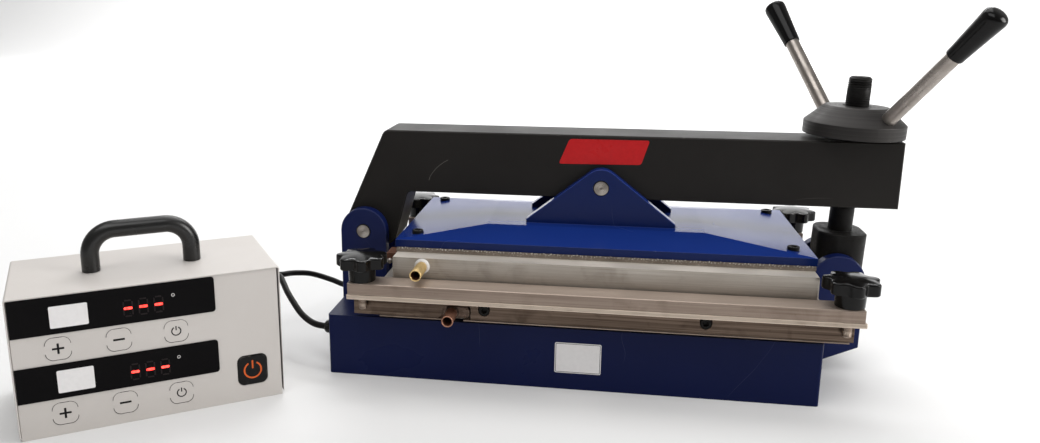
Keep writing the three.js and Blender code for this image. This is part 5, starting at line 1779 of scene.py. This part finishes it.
@dataclass
class Arm:
    """Black arm with its bush, cross pin and bare red plate. The foot of its leg is filled out."""

    rock: Flat = (28.0, 180.0)
    front: float = -27.0
    foot_rim: float = 20.0
    foot_grow: float = 9.8
    foot_start: float = 8.3
    foot_run: float = 12.5
    foot_top: float = 25.0
    plate_corners: tuple[Flat, ...] = ((-15.4, 201.6), (-5.1, 227.1), (74.0, 227.4), (66.4, 202.7))
    scratch_line: tuple[Flat, ...] = (
        (-149.3, 179.9), (-147.8, 184.4), (-145.0, 188.5), (-141.6, 192.6), (-137.6, 196.2), (-133.6, 199.2),
        (-129.1, 201.7),
    )
    scratch_half: float = 0.18

    def build(self) -> None:
        """Builds and dresses the arm's pieces."""
        beam = copy_of("arm", "arm_beam", 0.5)
        self.fill_foot(beam)
        deliver(beam, Body.ARM, BLACK, "arm")
        dress_node("hinge_bush", BRASS)
        CrossPin(
            "rocker_pin", *self.rock, half=40.2, radius=7.6, finish="faced rocker pin",
            colour=(172, 165, 158), tint=(98, 92, 86), ring_scale=1300.0,
        ).build(Body.ARM)
        stand = facing_front(0, self.front, 0)
        deliver(plate("arm_label", soft_corners(self.plate_corners, 3.0), 0.3, stand), Body.ARM, RED_LABEL)
        half = self.scratch_half
        outline = [(x + half, z - half) for x, z in self.scratch_line]
        outline += [(x - half, z + half) for x, z in reversed(self.scratch_line)]
        deliver(plate("arm_scratch", outline, 0.03, stand), Body.ARM, SCRATCH)

    def fill_foot(self, beam: bpy.types.Object) -> None:
        """Fills the foot of the leg out towards the platens.

        Args:
            beam: The arm.
        """
        for vertex in beam.data.vertices:
            right, up = vertex.co.x / MM - HINGE[0], vertex.co.z / MM - HINGE[1]
            if right > self.foot_start and up < self.foot_top and math.hypot(right, up) > self.foot_rim:
                vertex.co.x += self.foot_grow * min(1.0, (right - self.foot_start) / self.foot_run) * MM


@dataclass
class UpperPress:
    """Pressure plate, insulation and upper platen that rock on the cross pin."""

    middle: float = 28.3
    screw_xs: Flat = (-151.5, 208.1)
    screw_y: float = 73.0
    screw_top: float = 138.6
    board: Spans = (392.0, 190.0, 121.9, 126.0)
    tear_step: float = 1.6
    tear_waves: tuple[Flat, ...] = ((0.61, 1), (1.93, 2), (4.7, 5))
    on_edge: float = 0.9999
    tuft_count: int = 130
    tuft_spread: float = 0.618034
    tail: HoseTail = field(default_factory=lambda: HoseTail(x=-138.4, face=114.0, z=114.0, length=31.0))
    sensor_root: Point = (-167.9, -99.0, 113.0)
    ball: float = 2.8

    def build(self, patterns: PatternMaker) -> None:
        """Builds and dresses every piece of the upper press.

        Args:
            patterns: Maker of the screw heads and of the fibres.
        """
        hip = copy_of("pressure_plate", "pressure_plate_hip", 0.5, creased=True)
        deliver(hip, Body.PRESS, PRESS_BLUE, "pressure_plate")
        deliver(copy_of("upper_platen", "upper_platen_block", 1.0), Body.PRESS, PLATEN, "upper_platen")
        dress_node("upper_heater", RESIN)
        deliver(copy_of("heater_terminal", "heater_terminal_cap", 0.8), Body.PRESS, RESIN, "heater_terminal")
        self.frayed_board()
        self.fibres(patterns)
        self.sensor()
        for side in Side:
            tail = self.tail.build(f"upper_tail_{side.word}", side)
            deliver(tail, Body.PRESS, [BRASS, TAPE, PAINTED_BORE_SHADE], f"upper_hose_tail_{side.word}")
        places = [(x, side.value * self.screw_y, self.screw_top) for x in self.screw_xs for side in Side]
        ways = [(0.0, 0.0, 1.0)] * len(places)
        nodes = [f"press_screw_{side.word}_{hand}" for hand in ("left", "right") for side in Side]
        screws = SocketScrews(radius=5.6, socket=2.9, depth=2.8, seed=9)
        screws.build(patterns, "press_screw_heads", Body.PRESS, places, ways, nodes)

    def frayed_board(self) -> None:
        """Insulation board whose top edge is torn into small fibres."""
        length, depth, low, high = self.board
        far, wide = length / 2, depth / 2
        corners = [(-far, -wide), (far, -wide), (far, wide), (-far, wide)]
        outline: list[Flat] = []
        for (x0, y0), (x1, y1) in zip(corners, [*corners[1:], corners[0]]):
            count = int(math.hypot(x1 - x0, y1 - y0) / self.tear_step)
            outline += [(x0 + (x1 - x0) * i / count, y0 + (y1 - y0) * i / count) for i in range(count)]
        rows = [(low, 0.0, 0.0), (low + 0.5, 0.15, 0.3), (low + 2.0, 0.1, 0.6)]
        rows += [(high - 1.2, 0.5, 1.0), (high, 0.2, 1.1)]
        rings = []
        for height, out, rough in rows:
            ring = []
            for index, (x, y) in enumerate(outline):
                wave = sum(math.sin(index * pace + lift * height) for pace, lift in self.tear_waves)
                shift = out - 0.6 + rough * 0.22 * wave
                nx = math.copysign(shift, x) if abs(x) / far > self.on_edge else 0.0
                ny = math.copysign(shift, y) if abs(y) / wide > self.on_edge else 0.0
                ring.append(Vector((self.middle + x + nx, y + ny, height)))
            rings.append(ring)
        draft = Draft()
        draft.loft(rings)
        deliver(draft.build("insulation_sheet"), Body.PRESS, BOARD, "upper_insulation")

    def fibres(self, patterns: PatternMaker) -> None:
        """Pale torn fibres along the seam between the board and the plate.

        Args:
            patterns: Maker that sets a pattern at points.
        """
        draft = Draft()
        for turn, reach in ((-0.6, 1.5), (0.2, 1.9), (0.9, 1.2)):
            tip = Vector((math.sin(turn) * reach, math.cos(turn) * 0.5, 0.6 * reach))
            root = [Vector((x, y, -0.5)) for x, y in ((-0.6, -0.35), (0.6, -0.35), (0.0, 0.45))]
            draft.add([*root, tip], [(0, 2, 1), (0, 1, 3), (1, 2, 3), (2, 0, 3)])
        tuft = draft.build("fibre_tuft")
        length, depth, _, high = self.board
        places, ways = [], []
        for side in Side:
            for index in range(self.tuft_count):
                share = (index * self.tuft_spread + 0.13) % 1.0
                x = self.middle + (share - 0.5) * (length - 3.0)
                places.append((x, side.value * (depth / 2 + 0.5), high - 0.3 - 0.4 * math.sin(index * 2.3)))
                ways.append((0.3 * math.sin(index * 1.7), float(side.value), 0.55))
        piece = patterns.run("board_fibres", FIBRE, places, ways, Head=tuft, Seed=7)
        deliver(piece, Body.PRESS, FIBRE)
        bpy.data.objects.remove(tuft)

    def sensor(self) -> None:
        """Ball-ended temperature sensor at the left end of the platen."""
        ball = self.ball
        profile = [(0.0, -7.5), (1.7, -7.5), (1.7, 3.4), (2.0, 3.8)]
        profile += [(ball * math.cos(a), 6.2 + ball * math.sin(a)) for a in map(math.radians, range(-50, 90, 20))]
        place = upright(*self.sensor_root, (-1.0, 0.0, 0.0))
        piece = turned_piece("sensor_ball", [*profile, (0.0, 9.0)], 28, place)
        deliver(piece, Body.PRESS, ROD_STEEL, "platen_sensor")


@dataclass
class TieBolt:
    """Tie bolt with its hand nut, washer and two handles."""

    foot: Point = (265.0, 0.0, 96.0)
    lean: float = 2.0
    thread_foot: float = 158.0
    thread_radius: float = 10.2
    thread_pitch: float = 2.0
    thread_turns: float = 17.0
    seat: float = 138.5
    azimuth: float = 122.7
    tilt: float = 48.0
    root_reach: float = 39.0
    root_height: float = 20.5
    rod: float = 6.9
    bare: float = 84.0
    grip_neck: float = 8.3
    grip_wide: float = 10.9
    grip_inner: float = 7.1
    grip_length: float = 52.0

    def frame(self) -> Matrix:
        """The bolt's own frame in the press."""
        return Matrix.Translation(self.foot) @ Matrix.Rotation(math.radians(self.lean), 4, "Y")

    def build(self, threads: ThreadMaker) -> None:
        """Builds and dresses the bolt, nut, washer and handles.

        Args:
            threads: Maker of the screw thread.
        """
        deliver(copy_of("tie_bolt", "tie_bolt_forging", 0.4, 2), Body.BOLT, OXIDE, "tie_bolt")
        lean = (0.0, math.radians(self.lean), 0.0)
        foot = tuple(self.frame() @ Vector((0, 0, self.thread_foot)))
        sizes = {"Radius": self.thread_radius * MM, "Pitch": self.thread_pitch * MM, "Turns": self.thread_turns}
        thread = threads.run("tie_bolt_thread", OXIDE, [foot], **sizes, Steps=40, Lean=lean)
        smooth(thread)
        deliver(thread, Body.BOLT, OXIDE)
        self.nut()
        ring = [(12.0, 137.9), (19.6, 137.9), (20.0, 138.3), (20.0, 140.5), (19.6, 140.9), (12.0, 140.9)]
        washer = turned_piece("washer_ring", [*ring, ring[0]], 56, self.frame())
        deliver(washer, Body.WASHER, STEEL, "thrust_washer")
        for word, half_turn in (("front", 180), ("rear", 0)):
            self.handle(word, math.radians(self.azimuth + half_turn))

    def nut(self) -> None:
        """Cone-shaped hub, turned, with crisp chamfers."""
        rows = [
            (11.6, 2.7), (20.3, 2.7), (20.3, 0.0), (46.2, 0.0), (46.8, 0.3), (47.0, 0.9), (47.0, 12.4),
            (46.7, 12.9), (46.1, 13.4), (30.0, 28.0), (29.2, 28.5), (28.2, 28.6), (13.4, 28.6), (11.6, 27.2),
            (11.6, 2.7),
        ]
        hub = turned_piece("hand_nut_hub", [(r, self.seat + h) for r, h in rows], 112, self.frame(), 0.2)
        finish = Turned(
            "blackened hub", Slot.OXIDE, (54, 52, 51), 0.42, (42, 40, 39), metallic=0.7,
            centre=tuple(c * MM for c in self.foot), turn=(0.0, math.radians(self.lean), 0.0), ring_scale=900.0,
        )
        deliver(hub, Body.NUT, finish, "hand_nut")

    def handle(self, word: str, turn: float) -> None:
        """Steel rod and its tapered glossy grip.

        Args:
            word: Front or rear.
            turn: Angle of the handle about the bolt.
        """
        tilt = math.radians(self.tilt)
        way = Vector((math.cos(turn) * math.cos(tilt), math.sin(turn) * math.cos(tilt), math.sin(tilt)))
        reach = self.root_reach
        root = (reach * math.cos(turn), reach * math.sin(turn), self.seat + self.root_height)
        place = self.frame() @ upright(*root, tuple(way))
        radius, bare, neck, wide, inner = self.rod, self.bare, self.grip_neck, self.grip_wide, self.grip_inner
        bar = [(0.0, -11.0), (radius, -11.0), (radius, bare + 12.0)]
        bar += [(radius - 0.5, bare + 12.5), (0.0, bare + 12.5)]
        piece = turned_piece(f"handle_rod_{word}_bar", bar, 48, place)
        deliver(piece, Body.NUT, ROD_STEEL, f"handle_rod_{word}")
        grip = [(0.0, bare + 3.0), (inner, bare + 3.0), (inner, bare), (neck - 0.5, bare)]
        grip += [(neck - 0.1, bare + 0.3), (neck, bare + 0.9)]
        for share in (step / 14 for step in range(1, 15)):
            grip.append((neck + (wide - neck) * share**1.15, bare + 0.9 + (self.grip_length - 7.5) * share))
        shoulder = bare + self.grip_length - 6.0
        for angle in map(math.radians, (20, 40, 58, 72, 82)):
            grip.append((wide * math.cos(angle) ** 0.75, shoulder + 6.0 * math.sin(angle)))
        piece = turned_piece(f"handle_grip_{word}_moulding", [*grip, (0.0, shoulder + 6.0)], 56, place)
        deliver(piece, Body.NUT, PLASTIC, f"handle_grip_{word}")


@dataclass
class StarKnob:
    """Glossy black star knob: a plain boss under a lobed disc with a low domed top."""

    node: str
    x: float
    y: float
    phase: float
    foot: float = 102.1
    lobes: int = 7
    reach: float = 24.6
    boss: float = 13.4
    depth: float = 0.16
    boss_top: float = 13.8
    disc_top: float = 25.0
    dome: float = 1.8

    def profile(self) -> list[Point]:
        """Radius, height and share of the star shape, from the foot to the top.

        Returns:
            The rows.
        """
        boss, reach, low, high = self.boss, self.reach, self.boss_top, self.disc_top
        rows = [(0.0, 0.0, 0.0), (boss * 0.93, 0.0, 0.0), (boss * 0.95, 0.4, 0.0), (boss * 0.98, low - 1.6, 0.0)]
        rows += [(boss + 0.3, low - 0.4, 0.0), (boss + 1.2, low, 0.15), (reach * 0.9, low + 0.05, 1.0)]
        rows += [(reach * 0.97, low + 0.4, 1.0), (reach, low + 1.3, 1.0), (reach, high - 1.6, 1.0)]
        rows += [(reach * 0.99, high - 0.8, 1.0), (reach * 0.967, high - 0.25, 1.0), (reach * 0.93, high, 0.98)]
        for share in (0.82, 0.68, 0.52, 0.36, 0.2):
            rows.append((reach * share, high + self.dome * (1 - (share / 0.93) ** 2), share * share))
        return [*rows, (0.0, high + self.dome, 0.0)]

    def build(self) -> None:
        """Builds the knob and hands it over."""
        rings = []
        for radius, height, star in self.profile():
            ring = []
            for angle in fractions_of_turn(self.lobes * 22):
                wave = (1 - math.cos(self.lobes * (angle - math.radians(self.phase)))) / 2
                out = radius * (1 - self.depth * wave * (1 + 0.25 * wave) * star)
                x, y = self.x + out * math.cos(angle), self.y + out * math.sin(angle)
                ring.append(Vector((x, y, self.foot + height)))
            rings.append(ring)
        draft = Draft()
        draft.loft(rings)
        deliver(draft.build(self.node + "_star"), self.node, PLASTIC, self.node)


@dataclass
class Clamps:
    """Upper clamp bars and their four star knobs."""

    phases: tuple[Flat, ...] = ((29.4, 13.9), (5.0, 38.0))

    def build(self) -> None:
        """Builds bars and knobs."""
        for side, body, phases in zip(Side, (Body.FRONT_CLAMP, Body.REAR_CLAMP), self.phases):
            node = f"{side.word}_clamp_bar"
            deliver(copy_of(node, node + "_strip", 0.3, 2), body, STEEL, node)
            for hand, x, phase in zip(("left", "right"), STUD_XS, phases):
                StarKnob(f"{side.word}_{hand}_knob", x, side.value * STUD_Y, phase).build()


@dataclass
class Meter:
    """One display band of the control box with its keys, in the front's own x and z."""

    word: str
    bezel: Flat
    sticker: Spans
    dash_xs: Point
    dash_z: float
    unit: Flat
    key_xs: Point
    key_z: float


UPPER_METER = Meter(
    "upper", bezel=(91.3, 124.0), sticker=(32.3, 61.8, 96.4, 115.5), dash_xs=(93.3, 105.6, 118.1), dash_z=105.3,
    unit=(130.3, 111.9), key_xs=(36.4, 83.8, 130.7), key_z=78.0,
)
LOWER_METER = Meter(
    "lower", bezel=(33.4, 64.6), sticker=(33.1, 61.8, 38.4, 58.5), dash_xs=(94.4, 106.8, 119.2), dash_z=46.7,
    unit=(131.1, 53.9), key_xs=(36.5, 84.3, 131.2), key_z=19.4,
)


@dataclass
class ControlBox:
    """Grey control box with its two displays, keys, button and handle."""

    corner: Point = (-444.0, -298.0, 0.0)
    turn: float = 34.0
    width: float = 223.5
    height: float = 125.7
    depth: float = 118.8
    panel: float = 1.2
    meters: tuple[Meter, ...] = (UPPER_METER, LOWER_METER)
    film: Flat = (1.8, 165.4)
    film_back: float = 0.9
    film_face: float = 0.4
    gland_insets: Flat = (34.0, 69.0)
    segments: tuple[Spans, ...] = (
        (0, 7, 5.4, 1.3), (0, -7, 5.4, 1.3),
        (-3.5, 3.5, 1.2, 5.2), (3.5, 3.5, 1.2, 5.2), (-3.5, -3.5, 1.2, 5.2), (3.5, -3.5, 1.2, 5.2),
    )
    window: Flat = (38.0, 19.5)
    dash: Flat = (6.9, 2.2)
    key: Flat = (19.8, 20.0)
    key_corner: float = 6.4
    key_stroke: float = 0.55
    button_spot: Flat = (194.6, 29.7)
    grip_feet: Flat = (67.9, 154.5)
    grip_depth: float = 56.0
    grip_top: float = 162.5
    grip_bend: float = 22.0
    grip_radius: float = 7.8

    def frame(self) -> Matrix:
        """The box's own frame in the press."""
        return Matrix.Translation(self.corner) @ Matrix.Rotation(math.radians(self.turn), 4, "Z")

    def face(self, x: float, z: float, y: float = 0.0) -> Matrix:
        """A flat place on the front, its +Z towards the viewer."""
        return self.frame() @ facing_front(x, y, z)

    def build(self, arcs: ArcMaker) -> None:
        """Builds and dresses every piece of the box.

        Args:
            arcs: Maker of the key corner marks.
        """
        deliver(copy_of("control_cover", "box_cover", 0.35, 2), Body.BASE, BOX, "control_cover")
        deliver(copy_of("control_chassis", "box_chassis", 0.3, 2), Body.BASE, BOX, "control_chassis")
        for meter in self.meters:
            self.display(meter)
        dress_node("power_switch", GLASS)
        deliver(copy_of("mains_inlet", "mains_socket", 0.4, 2), Body.BASE, PLASTIC, "mains_inlet")
        for meter in self.meters:
            self.sticker(meter)
        for meter in self.meters:
            self.digits(meter)
        self.keys(arcs)
        rings = Draft()
        for meter in self.meters:
            place = self.face(*meter.unit, self.film_face)
            rings.stroke(arc(0, 0, 1.5, 0, 345, 23), arc(0, 0, 0.9, 0, 345, 23), 0.0, 0.08, place)
        deliver(rings.build("degree_rings"), Body.BASE, PALE_INK)
        deliver(copy_of("power_button", "power_button_cap", 0.5), Body.BUTTON, PLASTIC, "power_button")
        sign = Draft()
        sign.ring_sign(self.face(*self.button_spot, 0.3), 7.6, 1.5, 0.12)
        deliver(sign.build("power_button_sign"), Body.BUTTON, ORANGE_INK)
        self.handle()
        for word, inset in zip(("front", "rear"), self.gland_insets):
            place = self.frame() @ upright(self.width - inset, self.depth - self.panel, 70.0, (0.0, 1.0, 0.0))
            gland = cable_gland(f"box_gland_{word}", place, self.panel)
            deliver(gland, Body.BASE, PLASTIC, f"control_gland_{word}")

    def display(self, meter: Meter) -> None:
        """Black film with its two rounded right corners, and the meter body behind it.

        Args:
            meter: Display band.
        """
        (left, right), (low, high) = self.film, meter.bezel
        corner, inset, deep, back = 3.0, 6.0, 24.0, self.film_back
        ends = arc(right - corner, low + corner, corner, -90, 0, 8)
        ends += arc(right - corner, high - corner, corner, 0, 90, 8)
        draft = Draft()
        draft.prism([(left, low), *ends, (left, high)], -back, -self.film_face, self.face(0.0, 0.0))
        x0, x1, z0, z1 = left + inset, right - inset, low + inset, high - inset
        meter_body = [(x0, z0), (x1, z0), (x1, z1), (x0, z1)]
        draft.prism(meter_body, -self.panel - deep, -back - 0.05, self.face(0.0, 0.0))
        deliver(draft.build(f"{meter.word}_display_film", 0.12), Body.BASE, GLASS, f"{meter.word}_display")

    def sticker(self, meter: Meter) -> None:
        """Blank paper sticker on a display.

        Args:
            meter: Display band.
        """
        left, right, low, high = meter.sticker
        place = self.face((left + right) / 2, (low + high) / 2, self.film_face)
        paper = plate(f"{meter.word}_sticker", rounded(right - left, high - low, 1.2), 0.15, place)
        deliver(paper, Body.BASE, WHITE_LABEL)

    def digits(self, meter: Meter) -> None:
        """Three digits of a display, each with its middle segment lit.

        Args:
            meter: Display band.
        """
        dark, lit, z = Draft(), Draft(), meter.dash_z
        dark.prism(rounded(*self.window, 0.6), 0.0, 0.05, self.face(meter.dash_xs[1], z, self.film_face))
        for x in meter.dash_xs:
            for dx, dz, wide, tall in self.segments:
                place = self.face(x + dx, z + dz, self.film_face)
                dark.prism(rounded(wide, tall, 0.5, 2), 0.05, 0.08, place, mark=1)
            lit.prism(rounded(*self.dash, 1.0, 4), 0.05, 0.12, self.face(x, z, self.film_face))
        deliver(dark.build(f"{meter.word}_digit_window"), Body.BASE, [GLASS, LED_DARK])
        deliver(lit.build(f"{meter.word}_lit_dashes"), Body.BASE, LED_RED)

    def keys(self, arcs: ArcMaker) -> None:
        """Printed key outlines and their signs.

        Args:
            arcs: Maker of the corner marks.
        """
        y, own = self.panel, self.frame()
        wide, tall = self.key
        sizes = {"Width": wide, "Height": tall, "Corner": self.key_corner, "Stroke": self.key_stroke}
        sizes = {name: size * MM for name, size in sizes.items()}
        places = [tuple(own @ Vector((x, y, meter.key_z))) for meter in self.meters for x in meter.key_xs]
        turn = (QUARTER, 0.0, math.radians(self.turn))
        corners = arcs.run("key_corner_marks", DARK_INK, places, **sizes, Turn=turn)
        deliver(corners, Body.BASE, DARK_INK)
        signs = Draft()
        long, thick = 9.4, 1.8
        for meter in self.meters:
            plus, minus, third = meter.key_xs
            z = meter.key_z
            for x, wide, tall in ((plus, long, thick), (plus, thick, long), (minus, long, thick)):
                signs.prism(rounded(wide, tall, 0.3, 2), 0.0, 0.1, self.face(x, z, y))
            signs.ring_sign(self.face(third, z, y), 3.8, 1.0, 0.1)
            for x in meter.key_xs:
                for edge in (z - self.key[1] / 2, z + self.key[1] / 2):
                    signs.prism(rounded(7.2, 0.5, 0.1, 2), 0.0, 0.06, self.face(x, edge, y))
        deliver(signs.build("key_signs"), Body.BASE, DARK_INK)

    def handle(self) -> None:
        """Smooth bent handle with its two feet."""
        (left, right), top, bend, radius = self.grip_feet, self.grip_top, self.grip_bend, self.grip_radius
        heights = [self.height + 0.1, self.height + 0.6, self.height + 6.0]
        path = [(left, z) for z in [*heights, top - bend]]
        path += arc(left + bend, top - bend, bend, 180, 90, 12)[1:]
        path += [(left + bend + (right - left - 2 * bend) * i / 6, top) for i in range(1, 6)]
        path += arc(right - bend, top - bend, bend, 90, 0, 12)
        path += [(right, z) for z in reversed(heights)]
        own, last = self.frame(), len(path) - 1
        rings = []
        for index, (x, z) in enumerate(path):
            before, after = Vector(path[max(index - 1, 0)]), Vector(path[min(index + 1, last)])
            way = (after - before).normalized()
            thick = radius * (0.94 if index in (0, last) else 1.0)
            ring = []
            for angle in fractions_of_turn(40):
                side, lift = math.cos(angle) * thick, math.sin(angle) * thick
                ring.append(own @ Vector((x - way.y * lift, self.grip_depth + side, z + way.x * lift)))
            rings.append(ring)
        draft = Draft()
        draft.loft(rings)
        deliver(draft.build("carry_handle_bar"), Body.BASE, HANDLE, "carry_handle")


def main() -> None:
    """Builds everything in order."""
    logging.basicConfig(level=logging.INFO, format="%(message)s")
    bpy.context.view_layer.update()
    Studio().build()
    FRONT_CABLE.build()
    REAR_CABLE.build()
    threads, patterns, arcs = ThreadMaker(), PatternMaker(), ArcMaker()
    Base().build(threads, patterns)
    Arm().build()
    UpperPress().build(patterns)
    TieBolt().build(threads)
    Clamps().build()
    ControlBox().build(arcs)


if __name__ == "__main__":
    main()
